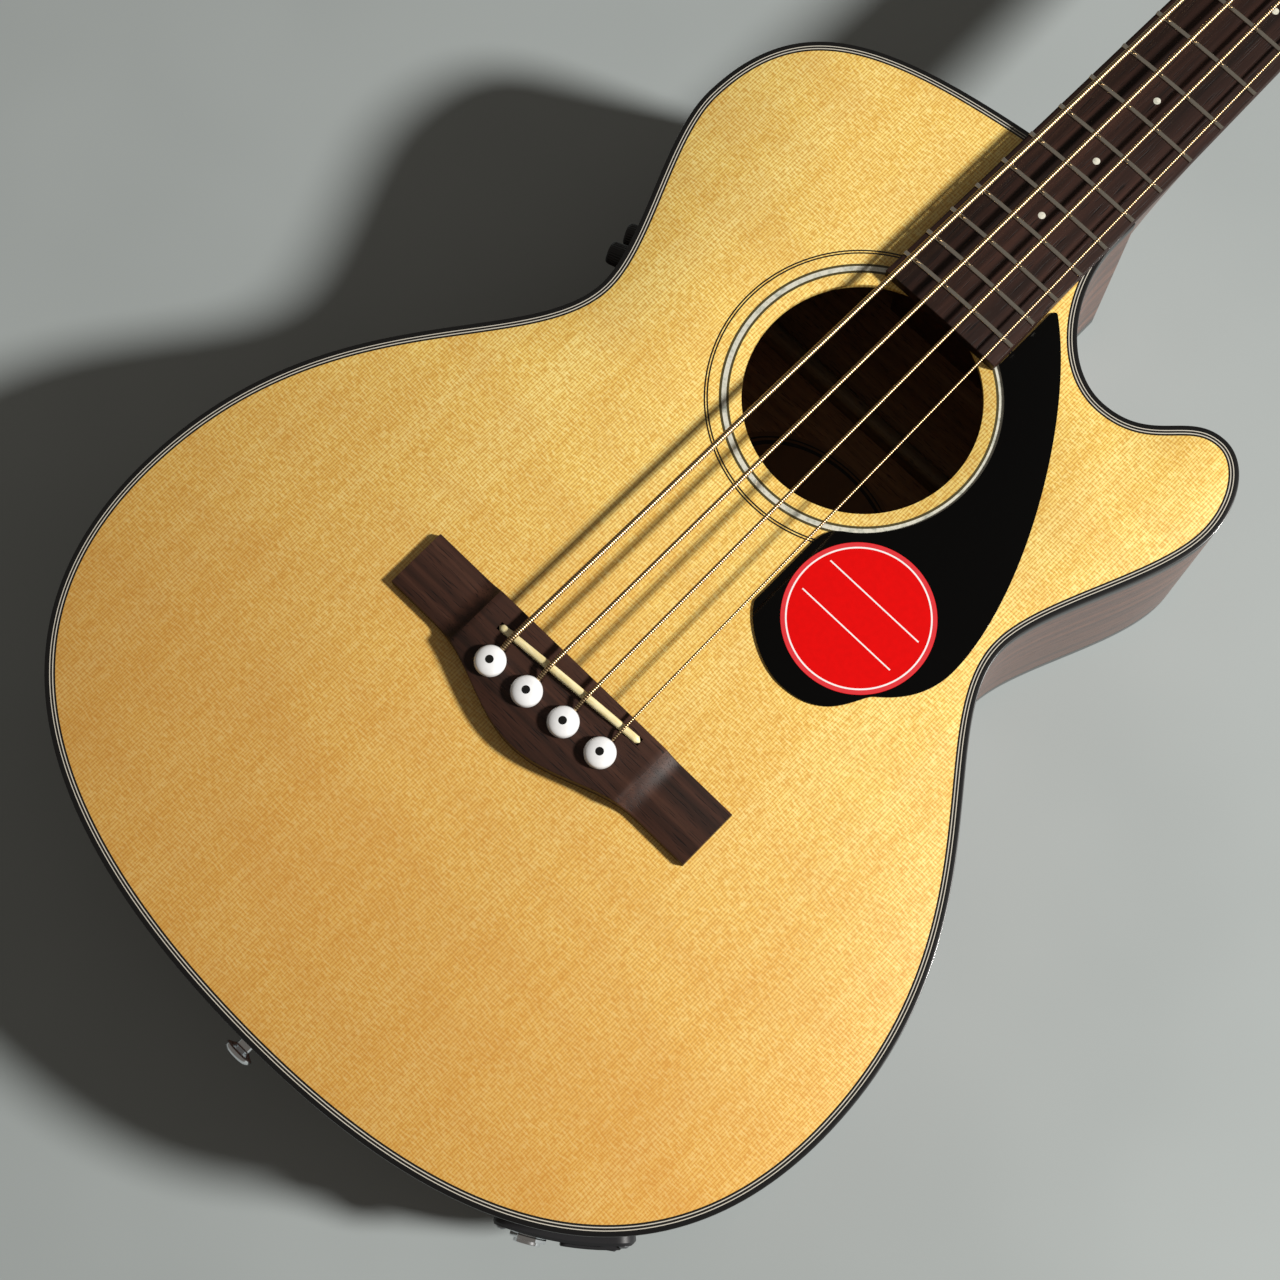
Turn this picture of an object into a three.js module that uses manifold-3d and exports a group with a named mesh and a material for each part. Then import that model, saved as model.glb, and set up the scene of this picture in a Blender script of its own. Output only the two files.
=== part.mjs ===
// Acoustic bass guitar with a cutaway: hollow body, neck, four strings, geared tuners and a preamp.
//
// It lies on its back. +Y runs from the tail to the headstock, +X points to the cutaway side and +Z
// points up off the soundboard. Lengths are in millimetres. Every piece is drawn from the middle of
// the saddle line on the soundboard's upper face, and the outermost group moves that point so that
// the whole instrument stands centred over its own origin.

import * as THREE from "three";
import { mergeVertices } from "three/addons/utils/BufferGeometryUtils.js";
import Module from "manifold-3d";

// Clearances
const gap = 0.3; // between pieces that touch
const slidingGap = 0.3; // round a shaft, plunger or drawer
const overrun = 5; // how far a cut runs past the face it opens

// Scale and strings
const scaleLength = 812.8; // saddle line to nut, 32 inches
const fretCount = 22;
const fretsPerOctave = 12;
const stringNames = ["e", "a", "d", "g"]; // from the bass side to the cutaway side
const stringDiameters = [2.54, 2.03, 1.65, 1.14];
const stringPitchAtSaddle = 19.2;
const stringPitchAtNut = 11.2;
const nutSlotOverFrets = 0.4;
const stringBendRadius = 2.4; // where a string turns from its pin hole to the saddle
const ballRadius = 2.9;
const ballLength = 5;
const windingTurns = 2;
const windingLoopGap = 0.55; // between one turn and the next
const windingTopHeight = 10; // first turn, over the headstock's face
const stringBendSteps = 4;
const stringSides = 6;
const stepsPerTurn = 24;

// Body outline, seen from above
const tailReach = 188; // saddle line to tail
const neckEndReach = 307; // saddle line to the neck end of the body
const lowerBoutHalfWidth = 194;
const lowerBoutPlace = -53;
const waistHalfWidth = 113.5;
const waistPlace = 132;
const upperBoutHalfWidth = 142.5;
const upperBoutFall = 81; // neck end down to the widest place of the upper bout
const neckSeatHalfWidth = 29.5;
const hornTopOffset = 119; // centre line to the top of the horn
const hornTopFall = 46; // neck end down to the top of the horn
const cutawayOffset = 73; // centre line to the deepest place of the cutaway
const cutawayFall = 69; // neck end down to the deepest place of the cutaway
const cutawayMouthFall = 11; // neck end down to where the cutaway runs straight along the neck
const shoulderFall = 9.7; // how far the bass shoulder falls over its handle
// Handle lengths of the outline's curves
const tailHandle = 133;
const boutToTailHandle = 86;
const boutToWaistHandle = 103;
const waistToBoutHandle = 43;
const waistToUpperHandle = 25;
const upperToWaistHandle = 28;
const upperToShoulderHandle = 56;
const shoulderHandle = 75;
const upperToHornHandle = 19;
const hornOuterHandle = 13;
const hornInnerHandle = 19;
const cutawayOuterHandle = 26;
const cutawayInnerHandle = 23;
const cutawayMouthHandle = 29;
const longCurveSteps = 12;
const middleCurveSteps = 9;
const shortCurveSteps = 6;

// Body plates, sides and edges
const bodyDepth = 116;
const topThickness = 3;
const backThickness = 3;
const sideThickness = 2.6;
const bindingWidth = 5.2; // black edge with its white and black lines
const backBindingHeight = 6;
const liningWidth = 6;
const liningHeight = 14;
const neckBlockWidth = 84;
const neckBlockLength = 62;
const tailBlockWidth = 70;
const tailBlockLength = 22;

// Soundhole and rosette
const soundholeRadius = 50.1;
const soundholePlace = 170.5;
const rosetteInnerRadius = 55.3;
const rosetteOuterRadius = 59.5;
const rosetteDepth = 1.2;
const roundSteps = 40;

// Braces
const braceWidth = 8;
const braceHeight = 14;
const crossingPlace = 85;
const crossingAngle = 48; // degrees between an X brace and the centre line
const transverseBraceFall = 75; // neck end down to its middle
const transverseBraceWidth = 10;
const transverseTrebleReach = 50; // centre line to its end beside the cutaway
const toneBarOffset = 8;
const toneBarPlace = -85;
const toneBarAngle = 18; // degrees to the bridge
const toneBarLength = 200;
const bridgePlateLength = 140;
const bridgePlateFront = 8;
const bridgePlateRear = 42;
const bridgePlateThickness = 2.5;
const backBraceWidth = 8;
const upperBackBraceFall = 111; // neck end down to its middle
const middleBackBracePlace = 48;
const lowerBackBracePlace = -104;

// Pickguard
const pickguardThickness = 1.5;
const pickguardTipOffset = 33.5;
const pickguardTipPlace = 253.5;
const pickguardBoardOffset = 31; // centre line to its edge beside the fingerboard
const pickguardWidestOffset = 105.7; // centre line to its widest place
const pickguardWidestPlace = 112;
const pickguardWaistOffset = 88.5; // centre line to the shallow dip between its two lobes
const pickguardWaistPlace = 80;
const pickguardToeOffset = 59.4; // centre line to its lowest place
const pickguardToePlace = 59;
const pickguardInnerOffset = 28;
const pickguardInnerPlace = 77;
const pickguardRingLap = 1.1; // over the rosette's outer line
// Handle lengths of its curves
const tipToWidestRun = 34;
const tipToWidestFall = 28;
const widestToTipHandle = 44;
const widestToWaistHandle = 18;
const waistToWidestRun = 6;
const waistToWidestRise = 5;
const waistToToeRun = 5;
const waistToToeFall = 11;
const toeToWaistHandle = 18;
const toeToInnerHandle = 12;
const innerToToeRun = 4;
const innerToToeFall = 8;

// Bridge
const bridgeHalfLength = 82.5;
const bridgeFront = 7.5;
const bridgeRear = 20.5;
const bellyRear = 34.5;
const bellyHalfLength = 58;
const bellyHeight = 8;
const wingHeight = 3.6;
const rampStart = 47; // where the belly begins to fall to the wing
const rampEnd = 52;
const bellySteps = 12;
const saddleThickness = 3.2;
const saddleLength = 74;
const saddleCrown = 11.6;
const saddleSlotDepth = 4;
const saddleSetback = 0.6; // behind the theoretical saddle line, at the middle
const compensation = 4.2; // degrees that the saddle is slanted
const crownRadius = 300; // across the saddle, the fingerboard and the nut
const crownSteps = 4;

// Bridge pins
const pinSetback = 13.6; // behind the saddle
const pinShaftRadius = 3.9;
const pinTipRadius = 3.3;
const pinLength = 18;
const pinHeadRadius = 6.6;
const pinHeadHeight = 5;
const pinHeadRimHeight = 2.6;
const pinRoundSteps = 14;
const pinDomeSteps = 3;
const pinStringOffset = 2.6; // string beside the pin's axis
const pinRampLength = 8;
const pinRampDepth = 3.4;

// Neck and fingerboard
const nutWidth = 41.3;
const nutThickness = 5;
const fingerboardEndPlace = 216.5;
const fingerboardEndWidth = 61;
const fingerboardThickness = 7;
const fretHeight = 1.1;
const fretWidth = 2.4;
const fretCrownShare = 0.4; // width of a fret's crown against its foot
const neckDepthAtNut = 14;
const neckDepthAtHeel = 17;
const neckRootLength = 14; // before the nut, where the neck thickens to its root
const neckEndDepth = 17.5; // behind the nut, under the headstock's root
const heelDepth = 104;
const heelLength = 78;
const heelSteps = 7;
const heelPower = 2.6;
const neckSectionSteps = 8;
const neckSideSet = 0.4; // neck inside the fingerboard's edge
const tenonWidth = 26;
const tenonLength = 20;
const tenonDepth = 82;
const trussRodRadius = 3;
const trussRodDepth = 6.6; // its axis under the fingerboard
const trussRodInset = 11; // neck end of the body to the rod's end in the heel
const trussNutRadius = 4;
const trussNutLength = 9;
const trussNutSides = 6;
const trussNutSetback = 7; // behind the nut
const trussPocketLength = 30;
const trussPocketWidth = 10.5;

// Headstock
const headTilt = 13; // degrees
const headLength = 186;
const headRise = 1; // its face at the nut, over the neck
const headThickness = 14;
const overlayThickness = 1;
const headRootWidth = 42;
const headShoulderWidth = 78;
const headShoulderPlace = 34;
const headTopWidth = 66;
const headTopPlace = 170;
const headCurveSteps = 5;

// Tuners
const postOffset = 23; // centre line to a post
const nearPostPlace = 52; // nut to the first pair, along the headstock
const farPostPlace = 128;
const postRadius = 4.75;
const postHeight = 16;
const postSlotWidth = 3;
const postSlotDepth = 4.6;
const postSteps = 14;
const gearRadius = 9;
const gearWidth = 6;
const gearTeeth = 16;
const gearToothDepth = 1.4;
const wormRadius = 4;
const wormLength = 17;
const meshGap = 0.4; // between gear and worm
const keyShaftRadius = 2.4;
const tunerPlateLength = 48;
const tunerPlateWidth = 29;
const tunerPlateThickness = 2;
const tunerPlateSet = 1.5; // gear side of the plate to the gear
const earThickness = 2.5;
const earWidth = 10;
const keyNeckLength = 7;
const keyLength = 21;
const keyWidth = 24;
const keyThickness = 7;
const keyEdgeGap = 3; // headstock's edge to the key
const keySteps = 16;

// Strap button
const strapButtonDepth = 55; // under the soundboard's face
const strapFlangeRadius = 6.2;
const strapFlangeThickness = 2;
const strapWaistRadius = 3.6;
const strapWaistLength = 5.4;
const strapHeadRadius = 7;
const strapHeadThickness = 4.2;
const strapHeadRimShare = 1 / 3; // chamfer and rim of its head against the thickness
const strapShankRadius = 2.5;
const strapShankLength = 18;

// Panels let into the curved rim
const rimCutReach = 10; // how far a case or an opening runs out past the rim at its middle

// Preamp on the bass side
const preampFromWaist = 46; // along the rim, waist to the panel's middle
const preampPanelLength = 66;
const preampPanelHeight = 42;
const preampPanelThickness = 2.2;
const preampPanelDepth = 38; // its middle under the soundboard's face
const preampCaseLength = 56;
const preampCaseHeight = 34;
const preampCaseDepth = 34;
const knobRadius = 5.5;
const knobHeight = 8.5;
const knobRimRadius = 5;
const knobClearance = 0.8;
const knobStemRadius = 2.8;
const knobStemLength = 9;
const volumeKnobAlong = -22; // from the panel's middle, toward the waist
const volumeKnobDepth = 28;
const toneKnobAlong = -4;
const toneKnobDepth = 46;
const tunerButtonAlong = 20;
const tunerButtonDepth = 38;
const tunerButtonRadius = 4;
const tunerButtonProud = 1.6;
const tunerButtonLength = 8;
const tunerButtonTravel = 1;

// Jack plate, output jack and battery drawer on the lower cutaway side
const jackPlateFromTail = 152; // along the rim, tail to the plate's middle
const jackPlateLength = 56;
const jackPlateHeight = 40;
const jackPlateThickness = 4;
const jackPlateDepth = 56; // its middle under the soundboard's face
const jackAlong = -14; // jack, from the plate's middle toward the tail
const jackBarrelRadius = 5.6;
const jackBoreRadius = 3.3;
const jackBoreLength = 30;
const jackLength = 36;
const jackNutRadius = 8;
const jackNutThickness = 2.6;
const jackTipLength = 1.6;
const drawerAlong = 11;
const drawerWall = 1.5;
const drawerLipThickness = 1.2;
const drawerLipOverlap = 1.2;
const caseWall = 1.5;
const batteryLength = 48.5;
const batteryHeight = 26.5;
const batteryWidth = 17.5;

// Finishes: colour, roughness, metalness
const spruce = [0xe3b873, 0.35, 0];
const mahogany = [0x6e4532, 0.4, 0];
const rawSpruce = [0xd9bb8c, 0.8, 0];
const rosewood = [0x3d2720, 0.55, 0];
const neckWood = [0x5c3826, 0.45, 0];
const gloss = [0x0b0b0c, 0.15, 0];
const pearl = [0xcfd3c6, 0.2, 0.1];
const bone = [0xefe6c8, 0.4, 0];
const white = [0xf2f2ee, 0.3, 0];
const bronze = [0xb98a3e, 0.35, 1];
const chrome = [0xc9ccd0, 0.15, 1];
const steel = [0x8d9094, 0.35, 1];
const matteBlack = [0x1b1b1d, 0.6, 0];

const wasm = await Module();
wasm.setup();

const degree = Math.PI / 180;
const quarterTurn = 90; // degrees
const point = (x, y) => new THREE.Vector2(x, y);
const place = (x, y, z) => new THREE.Vector3(x, y, z);

// Solids

function solid(geometry) {
  const bare = geometry.clone();
  bare.deleteAttribute("normal");
  bare.deleteAttribute("uv");
  const merged = mergeVertices(bare);
  return new wasm.Manifold(
    new wasm.Mesh({
      numProp: 3,
      vertProperties: new Float32Array(merged.attributes.position.array),
      triVerts: new Uint32Array(merged.index.array),
    }),
  );
}

function geometryOf(manifold) {
  const data = manifold.getMesh();
  const geometry = new THREE.BufferGeometry();
  geometry.setAttribute("position", new THREE.Float32BufferAttribute(data.vertProperties, 3));
  geometry.setIndex(new THREE.Uint32BufferAttribute(data.triVerts, 1));
  return geometry;
}

function named(name, shape, finish) {
  const geometry = shape.isBufferGeometry ? shape : geometryOf(shape);
  geometry.computeVertexNormals();
  const [color, roughness, metalness] = finish;
  const material = new THREE.MeshStandardMaterial({ color, roughness, metalness });
  const mesh = new THREE.Mesh(geometry, material);
  mesh.name = name;
  return mesh;
}

function prism(points, bottom, top, holes = []) {
  const shape = new THREE.Shape(points);
  shape.holes = holes.map((hole) => new THREE.Path(hole));
  const geometry = new THREE.ExtrudeGeometry(shape, { depth: top - bottom, bevelEnabled: false });
  geometry.translate(0, 0, bottom);
  return geometry;
}

function block(xs, ys, zs) {
  const geometry = new THREE.BoxGeometry(xs[1] - xs[0], ys[1] - ys[0], zs[1] - zs[0]);
  geometry.translate((xs[0] + xs[1]) / 2, (ys[0] + ys[1]) / 2, (zs[0] + zs[1]) / 2);
  return geometry;
}

function circle(x, y, radius, steps) {
  const points = [];
  for (let i = 0; i < steps; i += 1) {
    const angle = (i / steps) * 2 * Math.PI;
    points.push(point(x + radius * Math.cos(angle), y + radius * Math.sin(angle)));
  }
  return points;
}

// A solid through rings of equally many points, closed at both ends
function loft(rings) {
  const count = rings[0].length;
  const positions = rings.flat().flatMap((corner) => [corner.x, corner.y, corner.z]);
  const index = [];
  for (let r = 0; r < rings.length - 1; r += 1) {
    for (let i = 0; i < count; i += 1) {
      const a = r * count + i;
      const b = r * count + ((i + 1) % count);
      index.push(a, b, b + count, a, b + count, a + count);
    }
  }
  const last = (rings.length - 1) * count;
  for (let i = 1; i < count - 1; i += 1) {
    index.push(0, i + 1, i);
    index.push(last, last + i, last + i + 1);
  }
  const geometry = new THREE.BufferGeometry();
  geometry.setAttribute("position", new THREE.Float32BufferAttribute(positions, 3));
  geometry.setIndex(index);
  return geometry;
}

// A turned piece about the local Z axis; the profile holds [radius, height] pairs, bottom first
function turned(profile, steps) {
  const corners = profile.map(([radius, height]) => point(radius, height));
  const geometry = new THREE.LatheGeometry(corners, steps);
  geometry.rotateX(Math.PI / 2);
  return geometry;
}

// A straight rod, or the cutter for its bore
function rod(radius, bottom, top, steps = postSteps) {
  return turned(
    [
      [0, bottom],
      [radius, bottom],
      [radius, top],
      [0, top],
    ],
    steps,
  );
}

// The outline moved inward by a distance, or outward where that is negative
function inset(outline, distance) {
  const count = outline.length;
  return outline.map((corner, i) => {
    const before = corner.clone().sub(outline[(i + count - 1) % count]).normalize();
    const after = outline[(i + 1) % count].clone().sub(corner).normalize();
    const middle = point(-before.y - after.y, before.x + after.x).normalize();
    const spread = middle.dot(point(-before.y, before.x));
    return corner.clone().addScaledVector(middle, distance / spread);
  });
}

// Body outline

const upperBoutPlace = neckEndReach - upperBoutFall;
const hornTopPlace = neckEndReach - hornTopFall;
const cutawayPlace = neckEndReach - cutawayFall;
const cutawayMouthPlace = neckEndReach - cutawayMouthFall;

function curve(from, fromHandle, toHandle, to, steps) {
  return new THREE.CubicBezierCurve(from, fromHandle, toHandle, to).getPoints(steps).slice(1);
}

// Tail to upper bout, on the cutaway side
function lowerRim() {
  const tail = point(0, -tailReach);
  const bout = point(lowerBoutHalfWidth, lowerBoutPlace);
  const waist = point(waistHalfWidth, waistPlace);
  const upper = point(upperBoutHalfWidth, upperBoutPlace);
  return [
    tail,
    ...curve(
      tail,
      point(tailHandle, -tailReach),
      point(lowerBoutHalfWidth, lowerBoutPlace - boutToTailHandle),
      bout,
      longCurveSteps,
    ),
    ...curve(
      bout,
      point(lowerBoutHalfWidth, lowerBoutPlace + boutToWaistHandle),
      point(waistHalfWidth, waistPlace - waistToBoutHandle),
      waist,
      longCurveSteps,
    ),
    ...curve(
      waist,
      point(waistHalfWidth, waistPlace + waistToUpperHandle),
      point(upperBoutHalfWidth, upperBoutPlace - upperToWaistHandle),
      upper,
      middleCurveSteps,
    ),
  ];
}

function trebleRim() {
  const upper = point(upperBoutHalfWidth, upperBoutPlace);
  const horn = point(hornTopOffset, hornTopPlace);
  const deep = point(cutawayOffset, cutawayPlace);
  const mouth = point(neckSeatHalfWidth, cutawayMouthPlace);
  return [
    ...lowerRim(),
    ...curve(
      upper,
      point(upperBoutHalfWidth, upperBoutPlace + upperToHornHandle),
      point(hornTopOffset + hornOuterHandle, hornTopPlace),
      horn,
      shortCurveSteps,
    ),
    ...curve(
      horn,
      point(hornTopOffset - hornInnerHandle, hornTopPlace),
      point(cutawayOffset + cutawayOuterHandle, cutawayPlace),
      deep,
      shortCurveSteps,
    ),
    ...curve(
      deep,
      point(cutawayOffset - cutawayInnerHandle, cutawayPlace),
      point(neckSeatHalfWidth, cutawayMouthPlace - cutawayMouthHandle),
      mouth,
      shortCurveSteps,
    ),
    point(neckSeatHalfWidth, neckEndReach),
  ];
}

function bassRim() {
  const mirrored = lowerRim().map((corner) => point(-corner.x, corner.y));
  const upper = point(-upperBoutHalfWidth, upperBoutPlace);
  const shoulder = point(-neckSeatHalfWidth, neckEndReach);
  return [
    ...mirrored,
    ...curve(
      upper,
      point(-upperBoutHalfWidth, upperBoutPlace + upperToShoulderHandle),
      point(-neckSeatHalfWidth - shoulderHandle, neckEndReach - shoulderFall),
      shoulder,
      middleCurveSteps,
    ),
  ];
}

const treble = trebleRim();
const bass = bassRim();
const outline = [...treble, ...bass.slice(1).reverse()];
const reach = lowerBoutHalfWidth + neckEndReach + tailReach; // longer than the body in every direction

const backInside = -(bodyDepth - backThickness);
const cavityFloor = backInside + gap;
const cavityCeiling = -(topThickness + gap);

function ring(outer, inner, bottom, top) {
  return solid(prism(inset(outline, outer), bottom, top)).subtract(
    solid(prism(inset(outline, inner), bottom - overrun, top + overrun)),
  );
}

function half(manifold, side) {
  const near = gap / 2;
  const xs = side > 0 ? [near, reach] : [-reach, -near];
  return manifold.intersect(solid(block(xs, [-reach, reach], [-reach, reach])));
}

// Inside of the lining, where braces and blocks may lie
const braceRoom = solid(
  prism(inset(outline, sideThickness + gap + liningWidth + gap), -bodyDepth - overrun, overrun),
);
const blockRoom = solid(prism(inset(outline, sideThickness + gap), -bodyDepth - overrun, overrun));

// A place on the rim: distance along it, outward direction and rotation of the local frame, whose X
// axis points out of the rim and whose Z axis stays upright
function rimFrame(rim, distance, span) {
  const at = (wanted) => {
    let left = wanted;
    for (let i = 1; i < rim.length; i += 1) {
      const step = rim[i].distanceTo(rim[i - 1]);
      if (left <= step) return rim[i - 1].clone().lerp(rim[i], left / step);
      left -= step;
    }
    return rim[rim.length - 1].clone();
  };
  const along = at(distance + span / 2).sub(at(distance - span / 2)).normalize();
  const out = point(along.y, -along.x);
  if (rim === bass) out.negate();
  return { origin: at(distance), out, turn: Math.atan2(out.y, out.x) };
}

function rimDistance(rim, wantedPlace) {
  let distance = 0;
  for (let i = 1; i < rim.length; i += 1) {
    distance += rim[i].distanceTo(rim[i - 1]);
    if (rim[i].y >= wantedPlace) return distance;
  }
  return distance;
}

function atRim(geometry, frame, depth = 0) {
  const turnedGeometry = geometry.clone();
  turnedGeometry.rotateZ(frame.turn);
  turnedGeometry.translate(frame.origin.x, frame.origin.y, -depth);
  return turnedGeometry;
}

// Turned pieces stand along local Z; this lays them along local X, pointing out of the rim
function facingOut(geometry) {
  return geometry.clone().rotateY(Math.PI / 2);
}

// Strings: where each one crosses the saddle, the nut and its post

const strings = stringNames.map((name, i) => {
  const step = i - (stringNames.length - 1) / 2;
  const radius = stringDiameters[i] / 2;
  const saddleX = step * stringPitchAtSaddle;
  const nutX = step * stringPitchAtNut;
  const saddleY = -saddleSetback + saddleX * Math.tan(compensation * degree);
  const side = Math.sign(step);
  const near = Math.abs(step) > 1;
  return {
    name,
    radius,
    saddleX,
    saddleY,
    saddleZ: saddleCrown - crownDrop(saddleX) + gap + radius,
    pinY: saddleY - pinSetback,
    nutX,
    nutZ: fingerboardThickness + fretHeight - crownDrop(nutX) + nutSlotOverFrets + gap + radius,
    side,
    postX: side * postOffset,
    postU: near ? nearPostPlace : farPostPlace,
    grooveWidth: 2 * (radius + gap),
  };
});

function crownDrop(x) {
  return crownRadius - Math.sqrt(crownRadius * crownRadius - x * x);
}

// Headstock frame: u along the headstock, w off its face
const headRootY = scaleLength + 2 * gap + nutThickness;

function fromHead(x, u, w) {
  const cos = Math.cos(headTilt * degree);
  const sin = Math.sin(headTilt * degree);
  return place(x, headRootY + u * cos + w * sin, headRise - u * sin + w * cos);
}

function toHeadU(y, z) {
  const cos = Math.cos(headTilt * degree);
  const sin = Math.sin(headTilt * degree);
  return (y - headRootY) * cos - (z - headRise) * sin;
}

function headSolid(geometry) {
  const tilted = geometry.clone();
  tilted.rotateX(-headTilt * degree);
  tilted.translate(0, headRootY, headRise);
  return solid(tilted);
}

// A piece turned about its local Z axis, laid along the neck with its foot toward the tail
function alongNeck(geometry, z) {
  const laid = geometry.clone();
  laid.rotateX(-Math.PI / 2);
  laid.translate(0, 0, z);
  return laid;
}

// Body pieces

// Two bookmatched halves that meet on the centre line
function soundboard() {
  const face = inset(outline, bindingWidth + gap);
  const hole = circle(0, soundholePlace, soundholeRadius, roundSteps);
  let plate = solid(prism(face, -topThickness, 0, [hole]));
  const groove = prism(
    circle(0, soundholePlace, rosetteOuterRadius + gap, roundSteps),
    -rosetteDepth - gap,
    overrun,
    [circle(0, soundholePlace, rosetteInnerRadius - gap, roundSteps)],
  );
  plate = plate.subtract(solid(groove));
  for (const string of strings) plate = plate.subtract(pinHole(string));
  return [
    named("soundboard_bass", half(plate, -1), spruce),
    named("soundboard_treble", half(plate, 1), spruce),
  ];
}

function backPanel() {
  const face = inset(outline, sideThickness + gap);
  return named("back_panel", prism(face, -bodyDepth, backInside), mahogany);
}

function sideWall() {
  const bottom = -(bodyDepth - gap - backBindingHeight) + gap;
  return ring(0, sideThickness, bottom, -(topThickness + gap));
}

function sides() {
  const wall = sideWall().subtract(tenonRoom()).subtract(strapHole());
  return [
    named("side_bass", half(wall, -1).subtract(preampOpening()), mahogany),
    named("side_treble", half(wall, 1).subtract(jackOpening()), mahogany),
  ];
}

function tenonRoom() {
  const halfWidth = tenonWidth / 2 + gap;
  return solid(
    block(
      [-halfWidth, halfWidth],
      [neckEndReach - tenonLength - gap, neckEndReach + overrun],
      [-(tenonDepth + gap), cavityCeiling + overrun],
    ),
  );
}

function strapHole() {
  const drill = alongNeck(
    rod(strapShankRadius + gap, -overrun, strapShankLength + gap),
    -strapButtonDepth,
  );
  drill.translate(0, -tailReach, 0);
  return solid(drill);
}

function blocks() {
  const heights = [cavityFloor, cavityCeiling];
  const neckBlock = solid(
    block([-neckBlockWidth / 2, neckBlockWidth / 2], [neckEndReach - neckBlockLength, reach], heights),
  )
    .intersect(blockRoom)
    .subtract(tenonRoom());
  const tailBlock = solid(
    block([-tailBlockWidth / 2, tailBlockWidth / 2], [-reach, tailBlockLength - tailReach], heights),
  )
    .intersect(blockRoom)
    .subtract(strapHole());
  return [named("neck_block", neckBlock, mahogany), named("tail_block", tailBlock, mahogany)];
}

function linings() {
  const neckEnd = solid(
    block(
      [-neckBlockWidth / 2 - gap, neckBlockWidth / 2 + gap],
      [neckEndReach - neckBlockLength - gap, reach],
      [-reach, reach],
    ),
  );
  const tailEnd = solid(
    block(
      [-tailBlockWidth / 2 - gap, tailBlockWidth / 2 + gap],
      [-reach, tailBlockLength - tailReach + gap],
      [-reach, reach],
    ),
  );
  const inner = sideThickness + gap;
  const levels = [
    ["top", cavityCeiling - liningHeight, cavityCeiling],
    ["back", cavityFloor, cavityFloor + liningHeight],
  ];
  return levels.flatMap(([level, bottom, top]) => {
    const strip = ring(inner, inner + liningWidth, bottom, top).subtract(neckEnd).subtract(tailEnd);
    return [
      named(`${level}_lining_bass`, half(strip, -1), rawSpruce),
      named(`${level}_lining_treble`, half(strip, 1), rawSpruce),
    ];
  });
}

function bindings() {
  const topEdge = ring(0, bindingWidth, -topThickness, 0);
  const backBottom = -bodyDepth + gap;
  const backEdge = ring(0, sideThickness, backBottom, backBottom + backBindingHeight);
  return [named("top_binding", topEdge, gloss), named("back_binding", backEdge, gloss)];
}

// Braces

function bar(x, y, angle, lengths, width, bottom, top) {
  const geometry = block([-width / 2, width / 2], lengths, [bottom, top]);
  geometry.rotateZ(-angle * degree);
  geometry.translate(x, y, 0);
  return solid(geometry);
}

function crossingBrace(side, extraWidth, bottom, top) {
  const width = braceWidth + extraWidth;
  return bar(0, crossingPlace, side * crossingAngle, [-reach, reach], width, bottom, top);
}

function topBraces() {
  const bottom = cavityCeiling - braceHeight;
  const transversePlace = neckEndReach - transverseBraceFall;
  const transverseRear = transversePlace - transverseBraceWidth / 2;
  // the crossed braces stop short of the transverse one
  const crossingRoom = braceRoom.intersect(
    solid(block([-reach, reach], [-reach, transverseRear - gap], [-reach, reach])),
  );
  const middle = cavityCeiling - braceHeight / 2;
  const lowerNotch = crossingBrace(-1, 2 * gap, bottom - overrun, middle + gap / 2);
  const upperNotch = crossingBrace(1, 2 * gap, middle - gap / 2, cavityCeiling + overrun);
  const long = crossingBrace(1, 0, bottom, cavityCeiling).subtract(lowerNotch);
  const notched = crossingBrace(-1, 0, bottom, cavityCeiling).subtract(upperNotch);
  const transverse = solid(
    block(
      [-reach, transverseTrebleReach],
      [transverseRear, transverseRear + transverseBraceWidth],
      [bottom, cavityCeiling],
    ),
  );
  const halfTone = toneBarLength / 2;
  const tone = bar(
    toneBarOffset,
    toneBarPlace,
    quarterTurn + toneBarAngle,
    [-halfTone, halfTone],
    braceWidth,
    bottom,
    cavityCeiling,
  );
  let plate = solid(
    block(
      [-bridgePlateLength / 2, bridgePlateLength / 2],
      [-bridgePlateRear, bridgePlateFront],
      [cavityCeiling - bridgePlateThickness, cavityCeiling],
    ),
  );
  for (const string of strings) plate = plate.subtract(pinHole(string));
  return [
    named("x_brace_long", long.intersect(crossingRoom), rawSpruce),
    named("x_brace_notched", notched.intersect(crossingRoom), rawSpruce),
    named("transverse_brace", transverse.intersect(braceRoom), rawSpruce),
    named("tone_bar", tone.intersect(braceRoom), rawSpruce),
    named("bridge_plate", plate, rosewood),
  ];
}

function backBraces() {
  const upperPlace = neckEndReach - upperBackBraceFall;
  return [upperPlace, middleBackBracePlace, lowerBackBracePlace].map((middle, i) => {
    const geometry = block(
      [-reach, reach],
      [middle - backBraceWidth / 2, middle + backBraceWidth / 2],
      [cavityFloor, cavityFloor + braceHeight],
    );
    return named(`back_brace_${i + 1}`, solid(geometry).intersect(braceRoom), rawSpruce);
  });
}

// Rosette and pickguard on the soundboard

function rosette() {
  const outer = circle(0, soundholePlace, rosetteOuterRadius, roundSteps);
  const inner = circle(0, soundholePlace, rosetteInnerRadius, roundSteps);
  return named("rosette", prism(outer, -rosetteDepth, 0, [inner]), pearl);
}

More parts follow.
